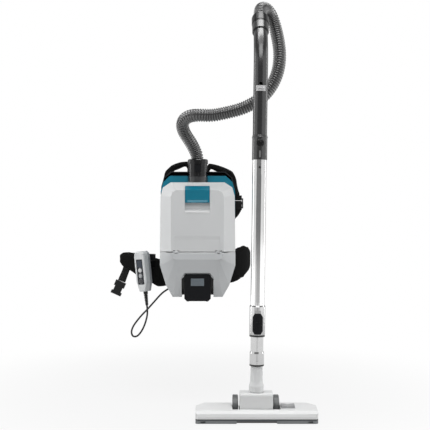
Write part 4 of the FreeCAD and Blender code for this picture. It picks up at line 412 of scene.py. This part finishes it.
cable_route = [
    (-0.15947, -0.042, -0.21548), (-0.1578, -0.042, -0.2324), (-0.1584, -0.043, -0.247),
    (-0.162, -0.0452, -0.263), (-0.168, -0.049, -0.281), (-0.177, -0.053, -0.298),
    (-0.189, -0.054, -0.311), (-0.203, -0.048, -0.312), (-0.209, -0.038, -0.299),
    (-0.204, -0.029, -0.283), (-0.192, -0.024, -0.266), (-0.176, -0.023, -0.247),
    (-0.160, -0.026, -0.231), (-0.145, -0.032, -0.214), (-0.131, -0.040, -0.198),
    (-0.1175, -0.049, -0.1825), (-0.1022, -0.056, -0.1689), (-0.0779, -0.056, -0.155)]
cable_diameter = 0.0055


def rubber_finish(name, level, roughness):
    """Matt rubber: nearly black, faintly mottled, with a fine skin."""
    material, place = blank_finish(name)
    mottle = place.noise(35, 4)
    bump = place.node("Bump", {}, {"Strength": 0.3, "Distance": 0.0003,
                                   "Height": place.noise(1500, 2)})
    shader = place.node("BsdfPrincipled", {}, {
        "Base Color": mottle.tint(grey(level * 0.75), grey(level * 1.35)),
        "Roughness": roughness + mottle * 0.12, "Specular IOR Level": 0.35, "Normal": bump})
    place.node("OutputMaterial", {}, {"Surface": shader})
    return material


rubber = rubber_finish("cable_rubber", 0.010, 0.36)
cable = cord_line("remote_lead", cable_route)
cable.data.bevel_depth = cable_diameter / 2
cable.data.bevel_resolution = 5
cable.data.use_fill_caps = True
cable.data.materials.append(rubber)
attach(cable, "pack")
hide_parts("remote_cable")


def dress(material, *names):
    """Give CAD nodes their finish."""
    for name in names:
        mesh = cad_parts[name].data
        mesh.materials.clear()
        mesh.materials.append(material)


dress(rubber, "cable_gland", "remote_strain_relief")


# ---------------------------------------------------------------- rear housing and harness plate
# The housing is a deep tray moulded in spark-eroded black plastic. The harness plate is screwed
# to its back with eight pan-head steel screws.

def moulding(name, colour, roughness, grain=0.3, edge=0.0007, mottle=0.06, gloss=0.5, zones=()):
    """Moulded plastic: an even colour, a fine mould texture and softly rounded, rubbed edges.

    Each zone is a mask, made from the place on the piece, and the colour moulded in there.
    """
    material, place = blank_finish(name)
    cloud = place.noise(7, 3)
    fine = place.noise(1400, 2)
    rounded = place.node("Bevel", {"samples": 4}, {"Radius": edge})
    flat = place.node("NewGeometry", {}, {}, "Normal")
    corner = 1 - place.node("VectorMath", {"operation": "DOT_PRODUCT"}, {0: rounded, 1: flat}, 1)
    rubbed = corner.step(0.03, 0.3) * place.noise(90, 4).step(0.35, 0.7)
    light = [min(1, level * (1 + mottle) + 0.001) for level in colour]
    dark = [level * (1 - mottle) for level in colour]
    worn = [min(0.9, level * 1.15 + 0.02) for level in colour]
    base = cloud.tint((*dark, 1), (*light, 1))
    for mask, other in zones:
        base = mask(place).tint(base, (*other, 1))
    bump = place.node("Bump", {}, {"Strength": grain, "Distance": 0.0002, "Height": fine,
                                   "Normal": rounded})
    shader = place.node("BsdfPrincipled", {}, {
        "Base Color": (rubbed * 0.5).tint(base, (*worn, 1)), "Specular IOR Level": gloss,
        "Roughness": roughness + cloud * 0.08 - rubbed * 0.08, "Normal": bump})
    place.node("OutputMaterial", {}, {"Surface": shader})
    return material


def steel_finish(name, level, roughness):
    """Plain steel with fine turning marks."""
    material, place = blank_finish(name)
    marks = place.noise(420, 4)
    shader = place.node("BsdfPrincipled", {}, {
        "Base Color": marks.tint(grey(level * 0.9), grey(level)), "Metallic": 1.0,
        "Roughness": roughness + marks * 0.12})
    place.node("OutputMaterial", {}, {"Surface": shader})
    return material


black_moulding = moulding("black_moulding", (0.012, 0.013, 0.015), 0.42, grain=0.6, gloss=0.3)
dress(black_moulding, "base_housing", "harness_plate")
steel = steel_finish("plain_steel", 0.55, 0.25)
dress(steel, "housing_screws", "lid_hinge_pins")


# ---------------------------------------------------------------- teal middle frame and latch
# The frame is one moulding in bright teal that clamps the covers to the housing. The lid's latch
# is moulded from the same teal and turns on a steel pin.

teal_colour = (0.0, 0.165, 0.25)


def inside_bay(place):
    """The frame's lower edge inside the battery bay, which is sprayed black."""
    below = 1 - place.part("Z").step(-0.152, -0.150)
    return below * (1 - abs(place.part("X")).step(0.058, 0.060))


dress(moulding("teal_frame", teal_colour, 0.26, grain=0.12,
               zones=[(inside_bay, (0.012, 0.013, 0.015))]), "accent_frame")
dress(moulding("teal_latch", teal_colour, 0.22, grain=0.08), "lid_latch")


# ---------------------------------------------------------------- front covers
# The lid and the lower cover are satin white mouldings with sloping facets round a flat front.
# The lid hangs on two steel pins, and the lower cover holds the battery under an arch.


def painted_lip_highlight(place):
    """The lip under the latch's recess, painted lighter as a highlight where it catches the light.
    """
    height = place.part("Z")
    band = height.step(0.0690, 0.0700) * (1 - height.step(0.0765, 0.0775))
    return band * (1 - abs(place.part("X")).step(0.0355, 0.0365)) * (
        1 - place.part("Y").step(-0.1885, -0.1875))


# The lid is one white, with a painted highlight on the lip under the latch's recess.
dress(moulding("lid_white", (0.615, 0.625, 0.63), 0.3, grain=0.16,
               zones=[(painted_lip_highlight, (0.82, 0.825, 0.83))]), "dust_lid")
# The lower cover is the lid's white painted darker, as shade on the lower front.
dress(moulding("cover_white", (0.535, 0.55, 0.56), 0.3, grain=0.16), "lower_cover")


# ---------------------------------------------------------------- inside the pack
# The inlet tube is frosted clear plastic. Under it hangs a paper dust bag, then a pleated filter,
# the motor in its black can with copper windings, the fan, and the green controller board.

def frosted_finish(name, colour, roughness, clear):
    """Frosted clear plastic: some light goes through and the rest scatters."""
    material, place = blank_finish(name)
    cloud = place.noise(40, 3)
    bump = place.node("Bump", {}, {"Strength": 0.15, "Distance": 0.0002,
                                   "Height": place.noise(900, 2)})
    shader = place.node("BsdfPrincipled", {}, {
        "Base Color": cloud.tint((*[level * 0.94 for level in colour], 1), (*colour, 1)),
        "Roughness": roughness + cloud * 0.06, "Normal": bump, "Transmission Weight": clear,
        "IOR": 1.46})
    place.node("OutputMaterial", {}, {"Surface": shader})
    return material


dress(frosted_finish("smoky_plastic", (0.075, 0.078, 0.08), 0.08, 0.4), "inlet_port")
dress(frosted_finish("frosted_plastic", (0.88, 0.89, 0.89), 0.2, 0.25), "nozzle_neck")


def fibre_finish(name, colour, fold=0.0):
    """Pressed fibre: paper or filter fleece, with fibres and faint stains."""
    material, place = blank_finish(name)
    fibres = place.noise(600, 6)
    stain = place.noise(14, 3)
    pleat = (place.part("X") * (2 * math.pi / 0.006)).sine() * fold
    bump = place.node("Bump", {}, {"Strength": 0.6, "Distance": 0.0006,
                                   "Height": fibres + pleat})
    shader = place.node("BsdfPrincipled", {}, {
        "Base Color": (fibres * stain * 2).tint((*[level * 0.8 for level in colour], 1),
                                                (*colour, 1)),
        "Roughness": 0.85 + stain * 0.1, "Normal": bump})
    place.node("OutputMaterial", {}, {"Surface": shader})
    return material


dress(fibre_finish("filter_fleece", (0.8, 0.8, 0.76), 3.0), "hepa_filter")
grey_moulding = moulding("grey_moulding", (0.33, 0.345, 0.36), 0.36, grain=0.3)
dress(grey_moulding, "bag_holder", "impeller")
gloss_black = moulding("gloss_black", (0.006, 0.006, 0.0066), 0.13, grain=0.04, edge=0.0009,
                       gloss=0.4)
dress(gloss_black, "motor_housing", "terminal_block")


def winding_finish():
    """Varnished copper wire, wound in close turns, painted darker between the turns as shade."""
    material, place = blank_finish("copper_windings")
    turns = (place.part("Z") * (2 * math.pi / 0.0011)).sine()
    bump = place.node("Bump", {}, {"Strength": 0.8, "Distance": 0.0003, "Height": turns})
    shader = place.node("BsdfPrincipled", {}, {
        # The copper is painted darker between the turns: painted shade in the grooves.
        "Base Color": turns.step(-1, 1).tint((0.36, 0.13, 0.05, 1), (0.72, 0.34, 0.17, 1)),
        "Metallic": 0.9, "Roughness": place.noise(50, 2) * 0.2 + 0.2, "Normal": bump})
    place.node("OutputMaterial", {}, {"Surface": shader})
    return material


def board_finish():
    """A lacquered circuit board with pale pads and darker tracks."""
    material, place = blank_finish("circuit_board")
    cells = place.node("TexVoronoi", {}, {"Vector": place, "Scale": 230.0})
    pads = 1 - cells.step(0.16, 0.24)
    tracks = place.node("TexBrick", {}, {"Vector": place, "Scale": 90.0}, "Fac")
    green = tracks.tint((0.012, 0.11, 0.05, 1), (0.02, 0.17, 0.08, 1))
    shader = place.node("BsdfPrincipled", {}, {
        "Base Color": pads.tint(green, (0.6, 0.58, 0.5, 1)), "Metallic": pads * 0.8,
        "Roughness": 0.3 - pads * 0.08, "Coat Weight": 0.4})
    place.node("OutputMaterial", {}, {"Surface": shader})
    return material


dress(winding_finish(), "motor_stator")
dress(board_finish(), "controller_board")


# ---------------------------------------------------------------- battery
# A black battery block slides up two rails in the arch of the lower cover. A grey release
# button sits in its front near the top.

battery_black = moulding("battery_black", (0.0075, 0.008, 0.0095), 0.4, grain=0.4, gloss=0.12)
dress(battery_black, "battery_case")
button_grey = moulding("button_grey", (0.13, 0.155, 0.175), 0.28, grain=0.15)
dress(button_grey, "battery_button")


# ---------------------------------------------------------------- padded harness
# Two back pads, two shoulder straps and two hip wings: cut foam sewn into black spacer mesh,
# with rows of stitches along them. They are sewn or clamped to the harness plate.

def mesh_cloth_finish(name, level):
    """Black spacer mesh: small round holes in a woven face, painted darker as the shade inside
    them.
    """
    material, place = blank_finish(name)
    holes = place.node("TexVoronoi", {"feature": "F1"}, {"Vector": place, "Scale": 420.0})
    open_weave = holes.step(0.15, 0.45)
    cloud = place.noise(18, 4)
    bump = place.node("Bump", {}, {"Strength": 0.7, "Distance": 0.0005, "Height": open_weave})
    thread = cloud.tint(grey(level * 0.8), grey(level * 1.4))
    shader = place.node("BsdfPrincipled", {}, {
        # The holes are painted darker than the threads: painted shade inside them.
        "Base Color": open_weave.tint(grey(level * 0.35), thread),
        "Roughness": 0.85 + cloud * 0.12, "Specular IOR Level": 0.1, "Normal": bump})
    place.node("OutputMaterial", {}, {"Surface": shader})
    return material


def smoothed(mesh):
    for face in mesh.polygons:
        face.use_smooth = True
    return mesh


cover_slack = 0.0012
filling_frames = 20


def stuffed(name, node, wall_side, press, cap, seams=(), grid=0.0045):
    """A padded piece in its CAD node's place: the node's form, remeshed and filled as foam.

    wall_side says which points rest on something and stay flat. Seams are lines of points
    that pull the cover in.
    """
    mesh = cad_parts[node].data.copy()
    form = bmesh.new()
    form.from_mesh(mesh)
    bmesh.ops.remove_doubles(form, verts=form.verts, dist=1e-6)
    form.to_mesh(mesh)
    form.free()
    made = bpy.data.objects.new(name, mesh)
    scene.collection.objects.link(made)
    remesh = made.modifiers.new("even", "REMESH")
    remesh.mode = "VOXEL"
    remesh.voxel_size = grid
    made.data = evaluated_mesh(made)
    made.modifiers.remove(remesh)
    for vertex in made.data.vertices:
        if not wall_side(vertex.co):
            vertex.co = vertex.co - vertex.normal * cover_slack
    start = [vertex.co.copy() for vertex in made.data.vertices]
    held = made.vertex_groups.new(name="held")
    held.add([vertex.index for vertex in made.data.vertices if wall_side(vertex.co)], 1.0,
             "REPLACE")
    cloth = made.modifiers.new("cover", "CLOTH")
    cloth.settings.use_pressure = True
    cloth.settings.uniform_pressure_force = press
    cloth.settings.effector_weights.gravity = 0
    cloth.settings.vertex_group_mass = "held"
    for moment in range(1, filling_frames + 1):
        scene.frame_set(moment)
    filled = evaluated_mesh(made)
    made.modifiers.remove(cloth)
    scene.frame_set(1)
    for vertex, before, after in zip(made.data.vertices, start, filled.vertices):
        move = after.co - before
        if move.length > cap:
            move = move.normalized() * cap
        vertex.co = before + move
    made.vertex_groups.clear()
    finer = made.modifiers.new("finer", "SUBSURF")
    finer.levels = 1
    finer.render_levels = 1
    made.data = evaluated_mesh(made)
    made.modifiers.remove(finer)
    made.data.name = name
    for seam in seams:
        sew(made.data, seam)
    smoothed(made.data)
    return made


def sew(mesh, seam, width=0.0035, depth=0.0022):
    """Pull a cover in along a line, as a row of stitches does."""
    normals = [vertex.normal.copy() for vertex in mesh.vertices]
    for vertex, normal in zip(mesh.vertices, normals):
        nearest = 1.0
        for first, second in zip(seam, seam[1:]):
            run = second - first
            share = max(0, min(1, (vertex.co - first).dot(run) / run.length_squared))
            nearest = min(nearest, (vertex.co - first - run * share).length)
            if nearest < 1e-4:
                break
        if nearest < 3 * width:
            vertex.co = vertex.co - normal * depth * math.exp(-(nearest / width) ** 2)


def rounded_line(points, spacing=0.004):
    """Even points on a smooth line through the given ones."""
    spots = [Vector(point) for point in points]
    ends = [2 * spots[0] - spots[1]] + spots + [2 * spots[-1] - spots[-2]]
    line = []
    for a, b, c, d in zip(ends, ends[1:], ends[2:], ends[3:]):
        count = max(2, round((c - b).length / spacing))
        for step in range(count):
            t = step / count
            line.append(0.5 * (2 * b + (c - a) * t + (2 * a - 5 * b + 4 * c - d) * t ** 2
                               + (3 * b - a - 3 * c + d) * t ** 3))
    return line + [spots[-1]]


def linked(name, vertices, faces, material, smooth=True):
    """A new mesh object from its vertices and faces."""
    mesh = bpy.data.meshes.new(name)
    mesh.from_pydata(vertices, [], faces)
    mesh.materials.append(material)
    if smooth:
        smoothed(mesh)
    made = bpy.data.objects.new(name, mesh)
    scene.collection.objects.link(made)
    return made


def swept(name, line, section, across, material):
    """A closed bar: the section, in (across, up) pairs, carried along a line."""
    count = len(section)
    vertices = []
    for i, spot in enumerate(line):
        run = (line[min(i + 1, len(line) - 1)] - line[max(i - 1, 0)]).normalized()
        wide = across[i] if isinstance(across, list) else Vector(across)
        wide = (wide - run * wide.dot(run)).normalized()
        up = run.cross(wide)
        vertices += [spot + wide * a + up * b for a, b in section]
    faces = [(ring * count + i, ring * count + (i + 1) % count,
              (ring + 1) * count + (i + 1) % count, (ring + 1) * count + i)
             for ring in range(len(line) - 1) for i in range(count)]
    faces.append(tuple(reversed(range(count))))
    faces.append(tuple(range((len(line) - 1) * count, len(line) * count)))
    made = linked(name, vertices, faces, material)
    form = bmesh.new()
    form.from_mesh(made.data)
    bmesh.ops.recalc_face_normals(form, faces=form.faces)
    form.to_mesh(made.data)
    form.free()
    return made


spacer_mesh = mesh_cloth_finish("spacer_mesh", 0.0085)
plate_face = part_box("harness_plate")[1].y


def on_plate(spot):
    return spot.y < plate_face + 0.001


pads = []
for pad_name, node in (("upper_back_pad", "back_pad_upper"), ("lower_back_pad", "back_pad_lower")):
    low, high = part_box(node)
    face = high.y
    third = (high.x - low.x) / 6
    lines = [[Vector((x, face, low.z + 0.015)), Vector((x, face, high.z - 0.015))]
             for x in (-third, third)]
    pads.append((stuffed(pad_name, node, on_plate, 2.0, 0.003, lines), node))

strap_lines = {
    "right": [(0.028, 0.180), (0.027, 0.204), (0.034, 0.220), (0.052, 0.2145), (0.084, 0.203),
              (0.102, 0.196), (0.108, 0.184), (0.111, 0.158), (0.116, 0.136), (0.121, 0.118)],
    "left": [(-0.028, 0.180), (-0.027, 0.206), (-0.034, 0.227), (-0.054, 0.224),
             (-0.080, 0.215), (-0.099, 0.197), (-0.104, 0.168), (-0.100, 0.118)]}
for side, line in strap_lines.items():
    node = "shoulder_strap_" + side
    strap = stuffed(side + "_strap_pad", node, lambda spot: False, 2.5, 0.003,
                    [rounded_line([(x, y, z) for x, z in line], 0.012)
                     for y in (0.002, 0.026)])
    pads.append((strap, node))

wing_lines = {
    "left": [(-0.084, -0.007, -0.112), (-0.126, -0.004, -0.117), (-0.165, 0.004, -0.104),
             (-0.198, 0.013, -0.091), (-0.226, 0.022, -0.081), (-0.243, 0.028, -0.078),
             (-0.253, 0.031, -0.074)],
    "right": [(0.084, -0.007, -0.104), (0.118, 0.0, -0.092), (0.143, 0.016, -0.082),
              (0.154, 0.042, -0.076), (0.158, 0.074, -0.076), (0.158, 0.092, -0.078)]}
for side, line in wing_lines.items():
    node = "hip_wing_" + side
    wing = stuffed(side + "_hip_pad", node, lambda spot: False, 2.5, 0.003,
                   [rounded_line(line, 0.012)])
    pads.append((wing, node))

for pad, node in pads:
    pad.data.materials.clear()
    pad.data.materials.append(spacer_mesh)
    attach(pad, "pack")
    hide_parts(node)


# ---------------------------------------------------------------- webbing, locks and buckle
# Flat woven webbing, 25 mm wide, runs through the ladder locks under the shoulder straps and to
# both halves of the side-release buckle on the hip belt.

def webbing_finish():
    """Black woven webbing: a fine herringbone along the band."""
    material, place = blank_finish("woven_webbing")
    thread = place.node("UVMap", {"uv_map": "band"}, {})
    across = thread.part("X")
    along = thread.part("Y")
    zigzag = abs((across * 240).maths("PINGPONG", across * 240, 1.0))
    rows = ((along * 900 + zigzag * 2) * math.pi).sine()
    cloud = place.noise(25, 4)
    bump = place.node("Bump", {}, {"Strength": 0.7, "Distance": 0.0003, "Height": rows})
    shader = place.node("BsdfPrincipled", {}, {
        # Between the weave's rows the colour is painted darker, as shade in the grooves that the
        # bump cuts.
        "Base Color": rows.step(-1, 1).tint(grey(0.004), cloud.tint(grey(0.010), grey(0.019))),
        "Roughness": 0.6 + cloud * 0.15, "Specular IOR Level": 0.2,
        "Normal": bump})
    place.node("OutputMaterial", {}, {"Surface": shader})
    return material


webbing = webbing_finish()
webbing_width = 0.025
webbing_thickness = 0.0018
webbing_section = [(-0.5, -0.2), (-0.5, 0.2), (-0.46, 0.45), (-0.3, 0.5), (0, 0.5), (0.3, 0.5),
                   (0.46, 0.45), (0.5, 0.2), (0.5, -0.2), (0.46, -0.45), (0.3, -0.5), (0, -0.5),
                   (-0.3, -0.5), (-0.46, -0.45)]


def band(name, stations):
    """A webbing band through (place, width direction) stations."""
    spots = [Vector(spot) for spot, _ in stations]
    line = rounded_line(spots, 0.003)
    directions = []
    for spot in line:
        near = sorted(range(len(spots)), key=lambda i: (spots[i] - spot).length)[:2]
        weights = [1 / ((spots[i] - spot).length + 1e-4) for i in near]
        total = sum(weights)
        directions.append(sum((Vector(stations[i][1]).normalized() * (weight / total)
                               for i, weight in zip(near, weights)), Vector()))
    section = [(a * webbing_width, b * webbing_thickness) for a, b in webbing_section]
    made = swept(name, line, section, directions, webbing)
    layer = made.data.uv_layers.new(name="band")
    count = len(section)
    run = [0.0]
    for first, second in zip(line, line[1:]):
        run.append(run[-1] + (second - first).length)
    for loop in made.data.loops:
        row, column = divmod(loop.vertex_index, count)
        layer.data[loop.index].uv = (section[column][0] + webbing_width / 2, run[row])
    return made


sideways = (1, 0, 0)
webs = []
for side, x, foot in (("left", -0.100, -0.0692), ("right", 0.124, 0.0692)):
    webs.append(("strap_webbing", band(side + "_strap_webbing", [
        ((x, 0.0122, 0.0800), sideways), ((x, 0.0128, 0.0900), sideways),
        ((x, 0.0128, 0.1035), sideways), ((x, 0.0180, 0.1085), sideways),
        ((x, 0.0232, 0.1030), sideways), ((x, 0.0232, 0.0860), sideways),
        ((x * 0.93, 0.022, 0.0700), sideways), ((x * 0.8, 0.021, 0.0450), sideways),
        ((foot, 0.014, -0.060), sideways), ((foot, -0.009, -0.118), sideways),
        ((foot, -0.013, -0.134), sideways), ((foot, -0.013, -0.150), sideways)])))
    webs.append((None, band(side + "_lock_loop", [
        ((x, 0.0150, 0.1260), sideways), ((x, 0.0128, 0.1190), sideways),
        ((x, 0.0130, 0.1135), sideways), ((x, 0.0180, 0.1112), sideways),
        ((x, 0.0230, 0.1135), sideways), ((x, 0.0232, 0.1190), sideways),
        ((x, 0.0210, 0.1260), sideways)])))
webs.append(("belt_webbing", band("left_belt_webbing", [
    ((-0.224, 0.0304, -0.084), (1, -0.33, 0.2)), ((-0.233, 0.0338, -0.112), (1, -0.33, 0.3)),
    ((-0.2464, 0.030, -0.1471), (1, 0, 0.4))])))
webs.append(("belt_webbing", band("right_belt_webbing", [
    ((0.150, 0.093, -0.078), (0, 0, 1)), ((0.128, 0.097, -0.080), (0, 0, 1)),
    ((0.1018, 0.094, -0.084), (0, 0, 1))])))
for node, web in webs:
    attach(web, "pack")
    if node:
        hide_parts(node)

buckle_black = moulding("buckle_black", (0.0065, 0.007, 0.0075), 0.34, grain=0.25, gloss=0.3)
dress(buckle_black, "ladder_locks", "buckle_socket", "buckle_plug", "remote_clip")


# ---------------------------------------------------------------- lid seal
# A pale foam-rubber strip lies in the joint under the lid, on the lower cover. It is cut into
# three lengths, which leave the two hinges and a drain slot beside each of them free.

seal_rubber = rubber_finish("seal_rubber", 0.6, 0.5)
seal_height = -0.0445
seal_half_height = 0.0013
seal_half_width = 0.001
seal_section = [(up * seal_half_height, out * seal_half_width)
                for up, out in ((-1, -1), (1, -1), (1, 1), (-1, 1))]
seal_runs = {"front": [(-0.057, -0.1868), (0.057, -0.1868)],
             "left": [(-0.1105, -0.116), (-0.1105, -0.1494), (-0.0915, -0.1708)],
             "right": [(0.0915, -0.1708), (0.1105, -0.1494), (0.1105, -0.116)]}
for side, run in seal_runs.items():
    seal = swept(side + "_lid_seal", [Vector((x, y, seal_height)) for x, y in run],
                 seal_section, (0, 0, 1), seal_rubber)
    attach(seal, "pack")


# ---------------------------------------------------------------- dust bag
# A paper bag glued to the holder's card. It hangs behind the lid and is loosely filled.

paper_bag = stuffed("paper_dust_bag", "dust_bag", lambda spot: spot.z > 0.118, 2.5, 0.004,
                    grid=0.006)
paper_bag.data.materials.clear()
paper_bag.data.materials.append(fibre_finish("bag_paper", (0.66, 0.56, 0.42)))
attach(paper_bag, "pack")
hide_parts("dust_bag")


# ---------------------------------------------------------------- wired remote
# Two off-white shells clipped on the left hip wing. The front shell holds a dark keypad with a
# display at its top, and three round keys.

dress(moulding("remote_white", (0.66, 0.675, 0.68), 0.3, grain=0.15), "remote_case_front")
dress(moulding("remote_grey", (0.36, 0.375, 0.39), 0.36, grain=0.3), "remote_case_rear")
dress(moulding("key_white", (0.72, 0.73, 0.73), 0.28, grain=0.1), "remote_button_power")
dress(moulding("key_grey", (0.40, 0.41, 0.42), 0.28, grain=0.1), "remote_button_mode")
dress(moulding("key_dark", (0.035, 0.037, 0.04), 0.3, grain=0.1), "remote_button_boost")

remote_centre = Vector((-0.170, -0.042, -0.110))
remote_turn = (Euler((0, math.radians(-5.7), 0)).to_matrix()
               @ Euler((0, 0, math.radians(-38))).to_matrix())
key_places = (0.004, -0.013, -0.030)


def rounded_sheet(half_width, low, high, corner):
    """The outline of a sheet with rounded corners, in (across, up) pairs."""
    outline = []
    for across, up, start in ((half_width, high, 0), (-half_width, high, 90),
                              (-half_width, low, 180), (half_width, low, 270)):
        centre = (across - math.copysign(corner, across), up - math.copysign(corner, up - 0.5
                                                                             * (low + high)))
        for step in range(5):
            angle = math.radians(start + 22.5 * step)
            outline.append((centre[0] + corner * math.cos(angle),
                            centre[1] + corner * math.sin(angle)))
    return outline


def remote_sheet(name, outlines, level, thickness, material):
    """A thin sheet laid on the remote's face: its outline, then the outlines of its holes."""
    curve = bpy.data.curves.new(name, "CURVE")
    curve.dimensions = "2D"
    curve.fill_mode = "BOTH"
    curve.extrude = thickness / 2
    for outline in outlines:
        spline = curve.splines.new("POLY")
        spline.points.add(len(outline) - 1)
        for point, (across, up) in zip(spline.points, outline):
            point.co = (across, up, 0, 1)
        spline.use_cyclic_u = True
    drawn = bpy.data.objects.new(name + "_drawn", curve)
    scene.collection.objects.link(drawn)
    mesh = evaluated_mesh(drawn)
    bpy.data.objects.remove(drawn)
    form = bmesh.new()
    form.from_mesh(mesh)
    bmesh.ops.remove_doubles(form, verts=form.verts, dist=1e-6)
    for vertex in form.verts:
        across, up, out = vertex.co
        vertex.co = remote_centre + remote_turn @ Vector((across, -level - out, up))
    bmesh.ops.recalc_face_normals(form, faces=form.faces)
    form.to_mesh(mesh)
    form.free()
    made = bpy.data.objects.new(name, mesh)
    scene.collection.objects.link(made)
    mesh.materials.clear()
    mesh.materials.append(material)
    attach(made, "pack")
    return made


def circle(radius, up, sides=28):
    return [(radius * math.cos(2 * math.pi * i / sides),
             up + radius * math.sin(2 * math.pi * i / sides)) for i in range(sides)]


def foil_finish(name, colour, roughness, shine):
    """Printed polyester foil, smooth and a little uneven in its gloss."""
    material, place = blank_finish(name)
    cloud = place.noise(45, 3)
    shader = place.node("BsdfPrincipled", {}, {
        "Base Color": cloud.tint((*[level * 0.85 for level in colour], 1), (*colour, 1)),
        "Roughness": roughness + cloud * 0.06, "Coat Weight": shine, "Coat Roughness": 0.08,
        "Specular IOR Level": 0.2})
    place.node("OutputMaterial", {}, {"Surface": shader})
    return material


recess_floor = 0.015
foil = remote_sheet("keypad_foil", [rounded_sheet(0.0131, -0.0396, 0.0376, 0.002)]
                    + [circle(0.0064, up) for up in key_places], recess_floor + 0.00018, 0.0003,
                    foil_finish("keypad_navy", (0.005, 0.0065, 0.012), 0.32, 0.1))
display = remote_sheet("remote_display", [rounded_sheet(0.0105, 0.0135, 0.0345, 0.0012)],
                       recess_floor + 0.0005, 0.0003,
                       foil_finish("display_glass", (0.010, 0.020, 0.038), 0.16, 0.3))
for name, up in zip(("power", "mode", "boost"), key_places):
    key_ring = remote_sheet("key_ring_" + name, [circle(0.0080, up), circle(0.0072, up)],
                            recess_floor + 0.00045, 0.0002,
                            foil_finish("key_ring_" + name, (0.30, 0.31, 0.33), 0.3, 0.2))


# ---------------------------------------------------------------- cuffs and handle
# The hose's cuffs and the bent handle tube are smooth black mouldings. A bright slider opens the
# handle's air vent, and an oval button locks the handle on the wand.

dress(gloss_black, "hose_cuff", "handle_cuff", "handle_lock_button")
dress(moulding("handle_black", (0.008, 0.008, 0.0088), 0.2, grain=0.06, edge=0.0009, gloss=1.0),
      "handle_grip")
dress(battery_black, "cuff_tab")
dress(moulding("slider_silver", (0.52, 0.52, 0.525), 0.26, grain=0.1), "air_slider")


# ---------------------------------------------------------------- wand
# Two plated steel tubes slide in each other. A plated sleeve with a black slide button clamps
# them, and a plated collar with a black end ring holds the nozzle's neck.

wand_axis = Vector((math.sin(math.radians(0.8)), 0, math.cos(math.radians(0.8))))
wand_foot = Vector((0.1633, -0.350, -0.463))


def chrome_finish(name, rings, level=0.66):
    """Bright plating with faint draw marks, and black rings from one height to another."""
    material, place = blank_finish(name)
    height = place.along(wand_axis) - wand_foot.dot(wand_axis)
    black = None
    for low, high in rings:
        ring = height.step(low - 0.0002, low + 0.0002) * (1 - height.step(high - 0.0002,
                                                                         high + 0.0002))
        black = ring if black is None else black.maths("MAXIMUM", black, ring)
    marks = place.noise(30, 3)
    black = marks * 0 if black is None else black
    shader = place.node("BsdfPrincipled", {}, {
        "Base Color": black.tint(marks.tint(grey(level - 0.08), grey(level)), grey(0.012)),
        "Metallic": 1 - black, "Roughness": 0.09 + marks * 0.07 + black * 0.2})
    place.node("OutputMaterial", {}, {"Surface": shader})
    return material


plating = chrome_finish("plated_tube", [])
dress(plating, "outer_tube", "inner_tube")
dress(chrome_finish("plated_sleeve", [(0.1975, 0.2025)], 0.5), "tube_sleeve")
dress(chrome_finish("plated_collar", [(0.1175, 0.1225)], 0.6), "inner_collar")
dress(battery_black, "sleeve_button")


# ---------------------------------------------------------------- floor nozzle
# A pale shell over a dark grey base, with a hinged knuckle, two grey wheels, a rocking pedal and
# two bristle strips that the pedal lowers.

nozzle_white = moulding("nozzle_white", (0.72, 0.725, 0.725), 0.33, grain=0.2)
dress(nozzle_white, "nozzle_shell", "nozzle_knuckle")


def skirt(place):
    """The base's lower lip, a soft bumper in a lighter grey."""
    return 1 - place.part("Z").step(-0.4850, -0.4846)


dress(moulding("nozzle_base_grey", (0.055, 0.06, 0.064), 0.4, grain=0.3,
               zones=[(skirt, (0.19, 0.20, 0.205))]), "nozzle_base")
dress(moulding("pedal_grey", (0.34, 0.345, 0.35), 0.4, grain=0.25), "pedal")
dress(moulding("wheel_grey", (0.115, 0.12, 0.122), 0.3, grain=0.2), "wheel_left", "wheel_right")


def bristle_finish():
    """Dark nylon bristles, some paler than others."""
    material, place = blank_finish("nylon_bristle")
    strand = place.noise(900, 2)
    shader = place.node("BsdfPrincipled", {}, {
        "Base Color": strand.tint(grey(0.02), grey(0.09)), "Roughness": 0.45 + strand * 0.2})
    place.node("OutputMaterial", {}, {"Surface": shader})
    return material


def bristle_recipe(material):
    """Tufts of bristles stood on every point of a base line, each a little different."""
    recipe = Recipe("bristle_tufts", {"Length": "Float", "Thickness": "Float", "Seed": "Int"})
    given = recipe.given
    strand = recipe.step("GeometryNodeMeshCone", {"fill_type": "NGON"}, {
        "Vertices": 4, "Side Segments": 1, "Fill Segments": 1,
        "Radius Top": recipe.maths("MULTIPLY", given["Thickness"], 0.7),
        "Radius Bottom": given["Thickness"], "Depth": given["Length"]})["Mesh"]
    tilt = recipe.step("FunctionNodeRandomValue", {"data_type": "FLOAT_VECTOR"},
                       {"Min": (3.0, -0.12, -3.1), "Max": (3.28, 0.12, 3.1),
                        "Seed": given["Seed"]})[0]
    grown = recipe.step("GeometryNodeInstanceOnPoints", {},
                        {"Points": given["Geometry"], "Instance": strand, "Rotation": tilt})[0]
    recipe.finish(grown, material)
    return recipe


def strip_points(box, rows, step):
    """Points of two bristle strips inside the box of their CAD node."""
    low, high = box
    margin = 0.002
    row_pitch = 0.0009
    root = low.z + 0.0162
    points = []
    count = int((high.x - low.x - 2 * margin) / step)
    for strip in (low.y + margin, high.y - margin):
        for row in range(rows):
            for i in range(count):
                points.append((low.x + margin + (i + 0.5 * (row % 2)) * step,
                               strip + (row - (rows - 1) / 2) * row_pitch, root))
    return points


brush_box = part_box("brush_strips")
brush_base = bpy.data.meshes.new("brush_points")
brush_base.from_pydata(strip_points(brush_box, 3, 0.0011), [], [])
bristle = bristle_finish()
bristles = bristle_recipe(bristle).run(
    "bristles", brush_base, {"Length": 0.016, "Thickness": 0.0004, "Seed": 4})
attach(bristles, "brush")
dress(bristle, "brush_strips")
